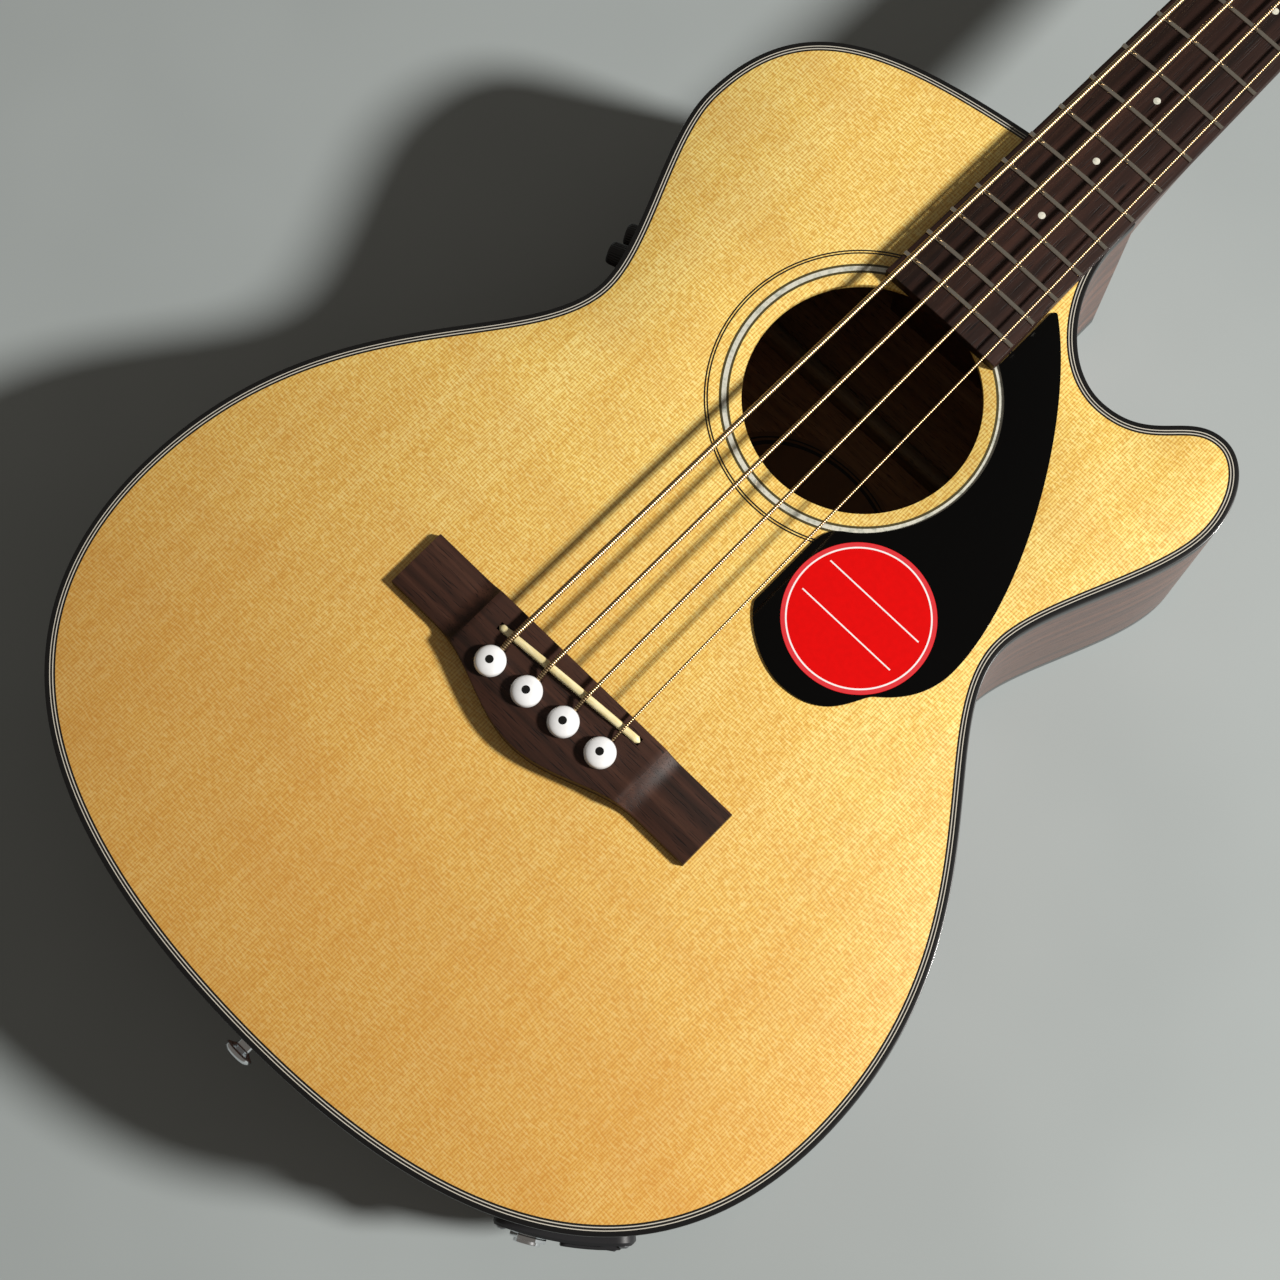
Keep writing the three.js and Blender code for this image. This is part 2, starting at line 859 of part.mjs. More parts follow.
function pickguard() {
  const tip = point(pickguardTipOffset, pickguardTipPlace);
  const widest = point(pickguardWidestOffset, pickguardWidestPlace);
  const waist = point(pickguardWaistOffset, pickguardWaistPlace);
  const toe = point(pickguardToeOffset, pickguardToePlace);
  const inner = point(pickguardInnerOffset, pickguardInnerPlace);
  const edge = [
    ...curve(
      inner,
      point(inner.x + innerToToeRun, inner.y - innerToToeFall),
      point(toe.x - toeToInnerHandle, toe.y),
      toe,
      shortCurveSteps,
    ),
    ...curve(
      toe,
      point(toe.x + toeToWaistHandle, toe.y),
      point(waist.x - waistToToeRun, waist.y - waistToToeFall),
      waist,
      shortCurveSteps,
    ),
    ...curve(
      waist,
      point(waist.x + waistToWidestRun, waist.y + waistToWidestRise),
      point(widest.x, widest.y - widestToWaistHandle),
      widest,
      shortCurveSteps,
    ),
    ...curve(
      widest,
      point(widest.x, widest.y + widestToTipHandle),
      point(tip.x + tipToWidestRun, tip.y - tipToWidestFall),
      tip,
      longCurveSteps,
    ),
    point(pickguardBoardOffset, tip.y - (tip.x - pickguardBoardOffset)),
    point(pickguardBoardOffset, soundholePlace),
    point(inner.x, soundholePlace),
    inner,
  ];
  const ringCut = circle(0, soundholePlace, rosetteOuterRadius - pickguardRingLap, roundSteps);
  const plate = solid(prism(edge, gap, gap + pickguardThickness)).subtract(
    solid(prism(ringCut, -overrun, overrun)),
  );
  return named("pickguard", plate, gloss);
}

// Bridge, saddle and pins

function pinHole(string) {
  const radius = pinShaftRadius + gap;
  const hole = circle(string.saddleX, string.pinY, radius, pinRoundSteps);
  return solid(prism(hole, -reach, reach));
}

function bridge() {
  const bottom = gap;
  const stations = new Set([-rampEnd, -rampStart, rampStart, rampEnd]);
  for (let i = 0; i <= bellySteps; i += 1) {
    stations.add(-bellyHalfLength + (2 * bellyHalfLength * i) / bellySteps);
  }
  stations.add(-bridgeHalfLength);
  stations.add(bridgeHalfLength);
  const sorted = [...stations].sort((a, b) => a - b);
  const rings = sorted.map((x) => {
    const across = Math.min(Math.abs(x) / bellyHalfLength, 1);
    const swell = (1 + Math.cos(Math.PI * across)) / 2;
    const rear = -(bridgeRear + (bellyRear - bridgeRear) * swell);
    const ramp = THREE.MathUtils.clamp((Math.abs(x) - rampStart) / (rampEnd - rampStart), 0, 1);
    const height = gap + bellyHeight + (wingHeight - bellyHeight) * ramp;
    return [
      place(x, bridgeFront, bottom),
      place(x, bridgeFront, height),
      place(x, rear, height),
      place(x, rear, bottom),
    ];
  });
  let body = solid(loft(rings));
  const slot = block(
    [-saddleLength / 2 - gap, saddleLength / 2 + gap],
    [-saddleThickness / 2 - gap, saddleThickness / 2 + gap],
    [gap + bellyHeight - saddleSlotDepth, reach],
  );
  body = body.subtract(atSaddle(slot));
  for (const string of strings) {
    body = body.subtract(pinHole(string)).subtract(stringRamp(string));
  }
  return named("bridge", body, rosewood);
}

function atSaddle(geometry) {
  const slanted = geometry.clone();
  slanted.rotateZ(compensation * degree);
  slanted.translate(0, -saddleSetback, 0);
  return solid(slanted);
}

// Groove in the bridge that lets a string out of its hole toward the saddle
function stringRamp(string) {
  const top = gap + bellyHeight;
  const halfWidth = string.grooveWidth / 2;
  const profile = [
    [string.pinY, top - pinRampDepth],
    [string.pinY + pinRampLength, top + gap],
    [string.pinY + pinRampLength, top + overrun],
    [string.pinY, top + overrun],
  ];
  const ends = [-halfWidth, halfWidth].map((side) =>
    profile.map(([y, z]) => place(string.saddleX + side, y, z)),
  );
  return solid(loft(ends));
}

function saddle() {
  const rings = [];
  for (let i = 0; i <= crownSteps; i += 1) {
    const x = saddleLength * (i / crownSteps - 1 / 2);
    const top = saddleCrown - crownDrop(x);
    const bottom = 2 * gap + bellyHeight - saddleSlotDepth;
    rings.push([
      place(x, saddleThickness / 2, bottom),
      place(x, saddleThickness / 2, top),
      place(x, -saddleThickness / 2, top),
      place(x, -saddleThickness / 2, bottom),
    ]);
  }
  return named("saddle", atSaddle(loft(rings)), bone);
}

// The straight stretch of a string from its pin hole up to the saddle
function stringRise(string) {
  const from = string.pinY + pinStringOffset;
  const to = string.saddleY - saddleThickness / 2;
  const low = gap + bellyHeight;
  const slope = (string.saddleZ - low) / (to - from);
  return { slope, heightAt: (y) => low + slope * (y - from) };
}

function bridgePin(string) {
  const seat = 2 * gap + bellyHeight;
  const profile = [
    [0, seat - pinLength],
    [pinTipRadius, seat - pinLength],
    [pinShaftRadius, seat],
    [pinHeadRadius, seat],
    [pinHeadRadius, seat + pinHeadRimHeight],
  ];
  for (let i = 1; i <= pinDomeSteps; i += 1) {
    const angle = (i / pinDomeSteps) * (Math.PI / 2);
    const height = (pinHeadHeight - pinHeadRimHeight) * Math.sin(angle);
    const radius = i === pinDomeSteps ? 0 : pinHeadRadius * Math.cos(angle);
    profile.push([radius, seat + pinHeadRimHeight + height]);
  }
  const pin = turned(profile, pinRoundSteps);
  pin.translate(string.saddleX, string.pinY, 0);
  const halfWidth = string.grooveWidth / 2;
  const top = stringRise(string).heightAt(string.pinY + pinHeadRadius) + string.radius + 2 * gap;
  const groove = block(
    [string.saddleX - halfWidth, string.saddleX + halfWidth],
    [string.pinY + pinStringOffset - string.radius - gap, string.pinY + pinHeadRadius + overrun],
    [seat - pinLength - overrun, top],
  );
  return named(`bridge_pin_${string.name}`, solid(pin).subtract(solid(groove)), white);
}

// Fingerboard, nut and neck

function boardHalfWidth(y) {
  const share = (y - fingerboardEndPlace) / (scaleLength - fingerboardEndPlace);
  return THREE.MathUtils.lerp(fingerboardEndWidth, nutWidth, share) / 2;
}

function fretPlace(number) {
  return scaleLength * 2 ** (-number / fretsPerOctave);
}

function crownedRing(y, halfWidth, bottom, top) {
  const corners = [place(-halfWidth, y, bottom), place(halfWidth, y, bottom)];
  for (let i = crownSteps; i >= 0; i -= 1) {
    const x = halfWidth * ((2 * i) / crownSteps - 1);
    corners.push(place(x, y, top - crownDrop(x)));
  }
  return corners;
}

// Board and frets in one body: the upper face steps up over each fret
function fingerboard() {
  const crown = fingerboardThickness + fretHeight;
  const rings = [crownedRing(scaleLength, nutWidth / 2, gap, fingerboardThickness)];
  for (let number = 1; number <= fretCount; number += 1) {
    const foot = fretWidth / 2;
    const shoulder = foot * fretCrownShare;
    const steps = [
      [foot, fingerboardThickness],
      [shoulder, crown],
      [-shoulder, crown],
      [-foot, fingerboardThickness],
    ];
    for (const [offset, top] of steps) {
      const y = fretPlace(number) + offset;
      rings.push(crownedRing(y, boardHalfWidth(y), gap, top));
    }
  }
  rings.push(crownedRing(fingerboardEndPlace, fingerboardEndWidth / 2, gap, fingerboardThickness));
  return named("fingerboard", loft(rings), rosewood);
}

function nut() {
  const front = scaleLength + gap;
  const top = fingerboardThickness + fretHeight + nutSlotOverFrets + gap + stringDiameters[0] / 2;
  let body = solid(
    loft([
      crownedRing(front + nutThickness, nutWidth / 2, gap, top),
      crownedRing(front, nutWidth / 2, gap, top),
    ]),
  );
  for (const string of strings) {
    const halfWidth = string.grooveWidth / 2;
    body = body.subtract(
      solid(
        block(
          [string.nutX - halfWidth, string.nutX + halfWidth],
          [front - overrun, front + nutThickness + overrun],
          [string.nutZ - string.radius - gap, reach],
        ),
      ),
    );
  }
  return named("nut", body, bone);
}

// Neck section: flat on top, rounded below
function neckRing(y, halfWidth, depth) {
  const corners = [];
  for (let i = 0; i <= neckSectionSteps; i += 1) {
    const angle = Math.PI * (i / neckSectionSteps);
    corners.push(place(-halfWidth * Math.cos(angle), y, -depth * Math.sin(angle)));
  }
  return corners;
}

function neck() {
  const front = neckEndReach + gap;
  const rootEnd = headRootY + headThickness * Math.sin(headTilt * degree);
  const rings = [];
  const nutHalfWidth = boardHalfWidth(scaleLength) - neckSideSet;
  rings.push(neckRing(rootEnd, nutHalfWidth, neckEndDepth));
  rings.push(neckRing(scaleLength - neckRootLength, nutHalfWidth, neckDepthAtNut));
  for (let i = heelSteps; i >= 0; i -= 1) {
    const share = i / heelSteps;
    const y = front + heelLength * share;
    const swell = (1 - share) ** heelPower;
    const depth = neckDepthAtHeel + (heelDepth - neckDepthAtHeel) * swell;
    rings.push(neckRing(y, boardHalfWidth(y) - neckSideSet, depth));
  }
  let body = solid(loft(rings));
  // the root is planed down to the headstock's face behind the nut
  const faceCut = block([-reach, reach], [0, reach], [-overlayThickness - gap, reach]);
  const head = headSolid(prism(headOutline(), -headThickness, -overlayThickness - gap));
  body = body.subtract(headSolid(faceCut)).add(head);
  const tenon = block(
    [-tenonWidth / 2, tenonWidth / 2],
    [neckEndReach - tenonLength, front + overrun],
    [-tenonDepth, cavityCeiling],
  );
  body = body.add(solid(tenon));
  const rodWidth = trussRodRadius + gap;
  const rodSlot = block(
    [-rodWidth, rodWidth],
    [neckEndReach + trussRodInset - gap, headRootY + trussNutSetback + overrun],
    [-trussRodDepth - trussRodRadius - gap, reach],
  );
  const pocketFloor = -trussRodDepth - trussNutRadius - gap;
  body = body.subtract(solid(rodSlot)).subtract(trussPocket(pocketFloor));
  for (const string of strings) body = body.subtract(headSolid(postHole(string)));
  return named("neck", body, neckWood);
}

// Pocket behind the nut where a key reaches the truss rod
function trussPocket(floor) {
  const start = headRootY + trussNutSetback - gap;
  return solid(
    block(
      [-trussPocketWidth / 2, trussPocketWidth / 2],
      [start, start + trussPocketLength],
      [floor, reach],
    ),
  );
}

function headOutline() {
  const root = headRootWidth / 2;
  const shoulder = headShoulderWidth / 2;
  const top = headTopWidth / 2;
  const flare = curve(
    point(root, 0),
    point(root, headShoulderPlace / 2),
    point(shoulder, headShoulderPlace / 2),
    point(shoulder, headShoulderPlace),
    headCurveSteps,
  );
  const crown = curve(
    point(top, headTopPlace),
    point(top, headLength),
    point(top / 2, headLength),
    point(0, headLength),
    headCurveSteps,
  );
  const right = [point(root, 0), ...flare, point(top, headTopPlace), ...crown];
  const left = right.slice(0, -1).reverse().map((corner) => point(-corner.x, corner.y));
  return [...right, ...left];
}

function postHole(string) {
  const hole = circle(string.postX, string.postU, postRadius + slidingGap, postSteps);
  return prism(hole, -headThickness - overrun, overrun);
}

function headOverlay() {
  let sheet = headSolid(prism(headOutline(), -overlayThickness, 0));
  for (const string of strings) sheet = sheet.subtract(headSolid(postHole(string)));
  return named("headstock_overlay", sheet.subtract(trussPocket(-reach)), rosewood);
}

function trussRod() {
  const start = headRootY + trussNutSetback;
  const bar = alongNeck(
    rod(trussRodRadius, neckEndReach + trussRodInset, start - 2 * gap),
    -trussRodDepth,
  );
  const hex = alongNeck(
    rod(trussNutRadius, start, start + trussNutLength, trussNutSides),
    -trussRodDepth,
  );
  return [named("truss_rod", bar, steel), named("truss_rod_nut", hex, chrome)];
}

// Tuners, drawn in the headstock's frame

const plateFace = -headThickness - gap;
const plateBottom = plateFace - tunerPlateThickness;
const gearTop = plateBottom - tunerPlateSet;
const wormLevel = gearTop - gearWidth / 2;
const wormOffset = gearRadius + wormRadius + meshGap;

function tunerPost(string) {
  const barrel = rod(postRadius, gearTop - gearWidth, postHeight);
  const teeth = [];
  for (let i = 0; i < gearTeeth; i += 1) {
    const angle = (i / gearTeeth) * 2 * Math.PI;
    const halfTooth = Math.PI / gearTeeth;
    const inner = gearRadius - gearToothDepth;
    teeth.push(point(gearRadius * Math.cos(angle), gearRadius * Math.sin(angle)));
    teeth.push(point(inner * Math.cos(angle + halfTooth), inner * Math.sin(angle + halfTooth)));
  }
  const slot = block(
    [-postSlotWidth / 2, postSlotWidth / 2],
    [-postRadius - overrun, postRadius + overrun],
    [postHeight - postSlotDepth, postHeight + overrun],
  );
  const body = solid(barrel)
    .add(solid(prism(teeth, gearTop - gearWidth, gearTop)))
    .subtract(solid(slot));
  const mesh = named(`tuner_post_${string.name}`, body, chrome);
  mesh.position.set(string.postX, string.postU, 0);
  return mesh;
}

// Plate with two ears; local X points away from the centre line
function tunerPlate(string) {
  const half = tunerPlateWidth / 2;
  const low = -gearRadius - (tunerPlateLength - 2 * gearRadius - wormOffset) / 2;
  let body = solid(block([-half, half], [low, low + tunerPlateLength], [plateBottom, plateFace]));
  const earBottom = wormLevel - keyShaftRadius - earThickness;
  for (const start of [-half, half - earThickness]) {
    body = body.add(
      solid(
        block(
          [start, start + earThickness],
          [wormOffset - earWidth / 2, wormOffset + earWidth / 2],
          [earBottom, plateBottom + gap],
        ),
      ),
    );
  }
  const bore = rod(keyShaftRadius + slidingGap, -half - overrun, half + overrun);
  bore.rotateY(Math.PI / 2);
  bore.translate(0, wormOffset, wormLevel);
  const hole = prism(circle(0, 0, postRadius + slidingGap, postSteps), plateBottom - overrun, overrun);
  body = body.subtract(solid(bore)).subtract(solid(hole));
  const mesh = named(`tuner_plate_${string.name}`, body, chrome);
  mesh.position.set(string.postX, string.postU, 0);
  return mesh;
}

// Worm, shaft and key in one; local X points away from the centre line on the bass side too
function tunerKey(string) {
  const half = tunerPlateWidth / 2;
  const keyStart = headShoulderWidth / 2 - postOffset + keyEdgeGap;
  const profile = [
    [0, -half],
    [keyShaftRadius, -half],
    [keyShaftRadius, -wormLength / 2],
    [wormRadius, -wormLength / 2],
    [wormRadius, wormLength / 2],
    [keyShaftRadius, wormLength / 2],
    [keyShaftRadius, keyStart + keyNeckLength],
    [0, keyStart + keyNeckLength],
  ];
  const shaft = turned(profile, postSteps);
  shaft.rotateY(Math.PI / 2);
  const handle = new THREE.CylinderGeometry(keyWidth / 2, keyWidth / 2, keyThickness, keySteps);
  handle.rotateX(Math.PI / 2);
  handle.scale(keyLength / keyWidth, 1, 1);
  handle.translate(keyStart + keyLength / 2, 0, 0);
  const body = solid(shaft).add(solid(handle));
  const mesh = named(`tuner_key_${string.name}`, body, chrome);
  mesh.position.set(string.postX, string.postU + wormOffset, wormLevel);
  if (string.side < 0) mesh.rotation.z = Math.PI;
  return mesh;
}

// Strings, each one unbroken tube from its ball to its post

function tube(stations) {
  const centres = stations.map((station) => station.centre);
  const count = centres.length;
  const tangents = centres.map((centre, i) => {
    const before = centres[Math.max(i - 1, 0)];
    const after = centres[Math.min(i + 1, count - 1)];
    return after.clone().sub(before).normalize();
  });
  let normal = place(0, 1, 0);
  normal.addScaledVector(tangents[0], -normal.dot(tangents[0])).normalize();
  const rings = [];
  for (let i = 0; i < count; i += 1) {
    if (i > 0) {
      const turn = new THREE.Quaternion().setFromUnitVectors(tangents[i - 1], tangents[i]);
      normal = normal.clone().applyQuaternion(turn);
    }
    const other = tangents[i].clone().cross(normal);
    const corners = [];
    for (let j = 0; j < stringSides; j += 1) {
      const angle = (j / stringSides) * 2 * Math.PI;
      const corner = centres[i].clone();
      corner.addScaledVector(normal, stations[i].radius * Math.cos(angle));
      corner.addScaledVector(other, stations[i].radius * Math.sin(angle));
      corners.push(corner);
    }
    rings.push(corners);
  }
  return loft(rings);
}

function windingStations(string) {
  const radius = postRadius + gap + string.radius;
  const pitch = 2 * string.radius + windingLoopGap;
  const startU = toHeadU(scaleLength + gap + nutThickness, string.nutZ);
  const toPost = point(string.postX - string.nutX, string.postU - startU);
  const lean = Math.asin(radius / toPost.length());
  const heading = Math.atan2(toPost.y, toPost.x) + string.side * lean;
  const first = heading + (string.side * Math.PI) / 2;
  const stations = [];
  const steps = windingTurns * stepsPerTurn;
  for (let i = 0; i <= steps; i += 1) {
    const turn = i / stepsPerTurn;
    const angle = first - string.side * turn * 2 * Math.PI;
    const u = string.postU + radius * Math.sin(angle);
    const x = string.postX + radius * Math.cos(angle);
    stations.push(fromHead(x, u, windingTopHeight - pitch * turn));
  }
  const end = first - string.side * steps * ((2 * Math.PI) / stepsPerTurn) - (string.side * Math.PI) / 2;
  const reachOn = 2 * string.radius;
  stations.push(
    fromHead(
      string.postX + radius * Math.cos(first) + reachOn * Math.cos(end),
      string.postU + radius * Math.sin(first) + reachOn * Math.sin(end),
      windingTopHeight - pitch * windingTurns,
    ),
  );
  return stations;
}

function stringRoute(string) {
  const x = string.saddleX;
  const hole = string.pinY + pinStringOffset;
  const rise = stringRise(string);
  const knee = rise.heightAt(hole);
  const ballTop = bellyHeight - pinLength;
  const fullBend = Math.PI / 2 - Math.atan(rise.slope);
  const bend = stringBendRadius * Math.tan(fullBend / 2);
  const route = [
    { centre: place(x, hole, ballTop - ballLength), radius: ballRadius },
    { centre: place(x, hole, ballTop), radius: ballRadius },
    { centre: place(x, hole, ballTop + gap), radius: string.radius },
  ];
  for (let i = 0; i <= stringBendSteps; i += 1) {
    const angle = (i / stringBendSteps) * fullBend;
    const y = hole + stringBendRadius * (1 - Math.cos(angle));
    const z = knee - bend + stringBendRadius * Math.sin(angle);
    route.push({ centre: place(x, y, z), radius: string.radius });
  }
  const halfSaddle = saddleThickness / 2;
  route.push({ centre: place(x, string.saddleY - halfSaddle, string.saddleZ), radius: string.radius });
  route.push({ centre: place(x, string.saddleY + halfSaddle, string.saddleZ), radius: string.radius });
  const nutFront = scaleLength + gap;
  for (const y of [nutFront, nutFront + nutThickness]) {
    route.push({ centre: place(string.nutX, y, string.nutZ), radius: string.radius });
  }
  for (const centre of windingStations(string)) route.push({ centre, radius: string.radius });
  return route;
}

// Least distance between the surfaces of a string's own stretches that are not neighbours
function leastSelfGap(string, route) {
  const turns = route.slice(-(windingTurns * stepsPerTurn + 2)).map((station) => station.centre);
  let least = Infinity;
  turns.forEach((a, i) => {
    turns.forEach((b, j) => {
      if (j - i > stepsPerTurn / 2) least = Math.min(least, a.distanceTo(b) - 2 * string.radius);
    });
  });
  return least;
}

function stringTube(string) {
  const route = stringRoute(string);
  console.log(`string_${string.name} least gap to itself ${leastSelfGap(string, route).toFixed(2)} mm`);
  return named(`string_${string.name}`, tube(route), bronze);
}

// Strap button

function strapButton() {
  const flange = gap + strapFlangeThickness;
  const neckEnd = flange + strapWaistLength;
  const rim = strapHeadThickness * strapHeadRimShare;
  const button = turned(
    [
      [0, -strapShankLength],
      [strapShankRadius, -strapShankLength],
      [strapShankRadius, gap],
      [strapFlangeRadius, gap],
      [strapFlangeRadius, flange],
      [strapWaistRadius, flange],
      [strapWaistRadius, neckEnd],
      [strapHeadRadius, neckEnd + rim],
      [strapHeadRadius, neckEnd + 2 * rim],
      [strapHeadRadius - rim, neckEnd + strapHeadThickness],
      [0, neckEnd + strapHeadThickness],
    ],
    postSteps,
  );
  const mesh = named("strap_button", button, chrome);
  mesh.position.set(0, -tailReach, -strapButtonDepth);
  mesh.rotation.x = Math.PI / 2;
  return mesh;
}

// Preamp

const waistDistance = rimDistance(bass, waistPlace);
const preampFrame = rimFrame(bass, waistDistance + preampFromWaist, preampPanelLength);

// A curved plate that follows the rim, from one distance off it to another
function rimPlate(from, to, frame, along, length, depth, height) {
  const piece = block(
    [-length / 2, length / 2],
    [along - length / 2, along + length / 2],
    [-height / 2, height / 2],
  );
  const bottom = -depth - height;
  const sheet = solid(prism(inset(outline, -to), bottom, 0)).subtract(
    solid(prism(inset(outline, -from), bottom - overrun, overrun)),
  );
  return sheet.intersect(solid(atRim(piece, frame, depth)));
}

function preampOpening() {
  const opening = block(
    [-preampCaseDepth, rimCutReach],
    [-preampCaseLength / 2 - gap, preampCaseLength / 2 + gap],
    [-preampCaseHeight / 2 - gap, preampCaseHeight / 2 + gap],
  );
  return solid(atRim(opening, preampFrame, preampPanelDepth));
}

function controlFrame(along) {
  return rimFrame(bass, waistDistance + preampFromWaist + along, 2 * knobRadius);
}

function controlBore(along, depth, radius, length) {
  const bore = rod(radius, -length, overrun);
  return solid(atRim(facingOut(bore), controlFrame(along), depth));
}

function preampPanel() {
  const face = gap + preampPanelThickness;
  const panel = rimPlate(
    gap,
    face,
    preampFrame,
    0,
    preampPanelLength,
    preampPanelDepth,
    preampPanelHeight,
  );
  const caseBox = block(
    [-preampCaseDepth, rimCutReach],
    [-preampCaseLength / 2, preampCaseLength / 2],
    [-preampCaseHeight / 2, preampCaseHeight / 2],
  );
  const limit = solid(prism(inset(outline, -face), -reach, reach));
  const caseSolid = solid(atRim(caseBox, preampFrame, preampPanelDepth)).intersect(limit);
  const stemRoom = knobStemRadius + slidingGap;
  const stemDepth = knobStemLength + gap;
  const buttonRoom = tunerButtonRadius + slidingGap;
  const buttonDepth = tunerButtonLength + tunerButtonTravel + gap;
  const body = panel
    .add(caseSolid)
    .subtract(controlBore(volumeKnobAlong, volumeKnobDepth, stemRoom, stemDepth))
    .subtract(controlBore(toneKnobAlong, toneKnobDepth, stemRoom, stemDepth))
    .subtract(controlBore(tunerButtonAlong, tunerButtonDepth, buttonRoom, buttonDepth));
  return named("preamp_panel", body, matteBlack);
}

function knob(name, along, depth) {
  const frame = controlFrame(along);
  const start = gap + preampPanelThickness + knobClearance;
  const body = turned(
    [
      [0, -knobStemLength],
      [knobStemRadius, -knobStemLength],
      [knobStemRadius, start],
      [knobRadius, start],
      [knobRimRadius, start + knobHeight],
      [0, start + knobHeight],
    ],
    postSteps,
  );
  const mesh = named(name, facingOut(body), matteBlack);
  mesh.position.set(frame.origin.x, frame.origin.y, -depth);
  mesh.rotation.z = frame.turn;
  return mesh;
}

function tunerButton() {
  const frame = controlFrame(tunerButtonAlong);
  const top = gap + preampPanelThickness + tunerButtonProud;
  const body = rod(tunerButtonRadius, -tunerButtonLength, top);
  const mesh = named("tuner_button", facingOut(body), matteBlack);
  mesh.position.set(frame.origin.x, frame.origin.y, -tunerButtonDepth);
  mesh.rotation.z = frame.turn;
  return mesh;
}

// Jack plate, output jack and battery drawer

const jackFrame = rimFrame(treble, jackPlateFromTail, jackPlateLength);
const socketFrame = rimFrame(treble, jackPlateFromTail + jackAlong, 2 * jackNutRadius);
const drawerWidth = batteryWidth + 2 * (gap + drawerWall);
const drawerHeight = batteryHeight + gap + drawerWall;
const drawerDepth = batteryLength + 2 * (gap + drawerWall);
const caseWidth = drawerWidth + 2 * (slidingGap + caseWall);
const caseHeight = drawerHeight + 2 * (slidingGap + caseWall);
const caseDepth = drawerDepth + slidingGap + caseWall;

function jackOpening() {
  const opening = block(
    [-caseDepth, rimCutReach],
    [jackAlong - jackBarrelRadius - gap, drawerAlong + caseWidth / 2 + gap],
    [-caseHeight / 2 - gap, caseHeight / 2 + gap],
  );
  return solid(atRim(opening, jackFrame, jackPlateDepth));
}

function jackPlate() {
  const face = gap + jackPlateThickness;
  const plate = rimPlate(gap, face, jackFrame, 0, jackPlateLength, jackPlateDepth, jackPlateHeight);
  const limit = solid(prism(inset(outline, -face), -reach, reach));
  const outer = block(
    [-caseDepth, rimCutReach],
    [drawerAlong - caseWidth / 2, drawerAlong + caseWidth / 2],
    [-caseHeight / 2, caseHeight / 2],
  );
  const inner = block(
    [-caseDepth + caseWall, rimCutReach],
    [drawerAlong - drawerWidth / 2 - slidingGap, drawerAlong + drawerWidth / 2 + slidingGap],
    [-drawerHeight / 2 - slidingGap, drawerHeight / 2 + slidingGap],
  );
  const jackHole = rod(jackBarrelRadius + gap, -rimCutReach, rimCutReach);
  const body = plate
    .add(solid(atRim(outer, jackFrame, jackPlateDepth)).intersect(limit))
    .subtract(solid(atRim(inner, jackFrame, jackPlateDepth)))
    .subtract(solid(atRim(facingOut(jackHole), socketFrame, jackPlateDepth)));
  return named("jack_plate", body, matteBlack);
}

function outputJack() {
  const face = gap + jackPlateThickness + gap;
  const tip = face + jackNutThickness + jackTipLength;
  const body = turned(
    [
      [0, tip - jackLength],
      [jackBarrelRadius, tip - jackLength],
      [jackBarrelRadius, face],
      [jackNutRadius, face],
      [jackNutRadius, face + jackNutThickness],
      [jackBarrelRadius, face + jackNutThickness],
      [jackBarrelRadius, tip],
      [jackBoreRadius, tip],
      [jackBoreRadius, tip - jackBoreLength],
      [0, tip - jackBoreLength],
    ],
    postSteps,
  );
  const mesh = named("output_jack", facingOut(body), chrome);
  mesh.position.set(socketFrame.origin.x, socketFrame.origin.y, -jackPlateDepth);
  mesh.rotation.z = socketFrame.turn;
  return mesh;
}

const drawerBack = -caseDepth + caseWall + slidingGap;

function batteryDrawer() {
  const face = gap + jackPlateThickness + gap;
  const lip = rimPlate(
    face,
    face + drawerLipThickness,
    jackFrame,
    drawerAlong,
    drawerWidth + 2 * drawerLipOverlap,
    jackPlateDepth,
    drawerHeight + 2 * drawerLipOverlap,
  );
  const outer = block(
    [drawerBack, rimCutReach],
    [drawerAlong - drawerWidth / 2, drawerAlong + drawerWidth / 2],
    [-drawerHeight / 2, drawerHeight / 2],
  );
  const inner = block(
    [drawerBack + drawerWall, drawerBack + drawerWall + batteryLength + 2 * gap],
    [drawerAlong - batteryWidth / 2 - gap, drawerAlong + batteryWidth / 2 + gap],
    [-drawerHeight / 2 + drawerWall, drawerHeight / 2 + overrun],
  );
  const limit = solid(prism(inset(outline, -face - drawerLipThickness), -reach, reach));
  const body = solid(atRim(outer, jackFrame, jackPlateDepth))
    .intersect(limit)
    .subtract(solid(atRim(inner, jackFrame, jackPlateDepth)))
    .add(lip);
  return named("battery_drawer", body, matteBlack);
}

function battery() {
  const start = drawerBack + drawerWall + gap;
  const bottom = -drawerHeight / 2 + drawerWall + gap;
  const cell = block(
    [start, start + batteryLength],
    [drawerAlong - batteryWidth / 2, drawerAlong + batteryWidth / 2],
    [bottom, bottom + batteryHeight],
  );
  const mesh = named("battery", cell, steel);
  mesh.position.set(jackFrame.origin.x, jackFrame.origin.y, -jackPlateDepth);
  mesh.rotation.z = jackFrame.turn;
  return mesh;
}

// Assembly

const head = new THREE.Group();
head.position.set(0, headRootY, headRise);
head.rotation.x = -headTilt * degree;
for (const string of strings) head.add(tunerPlate(string), tunerPost(string), tunerKey(string));

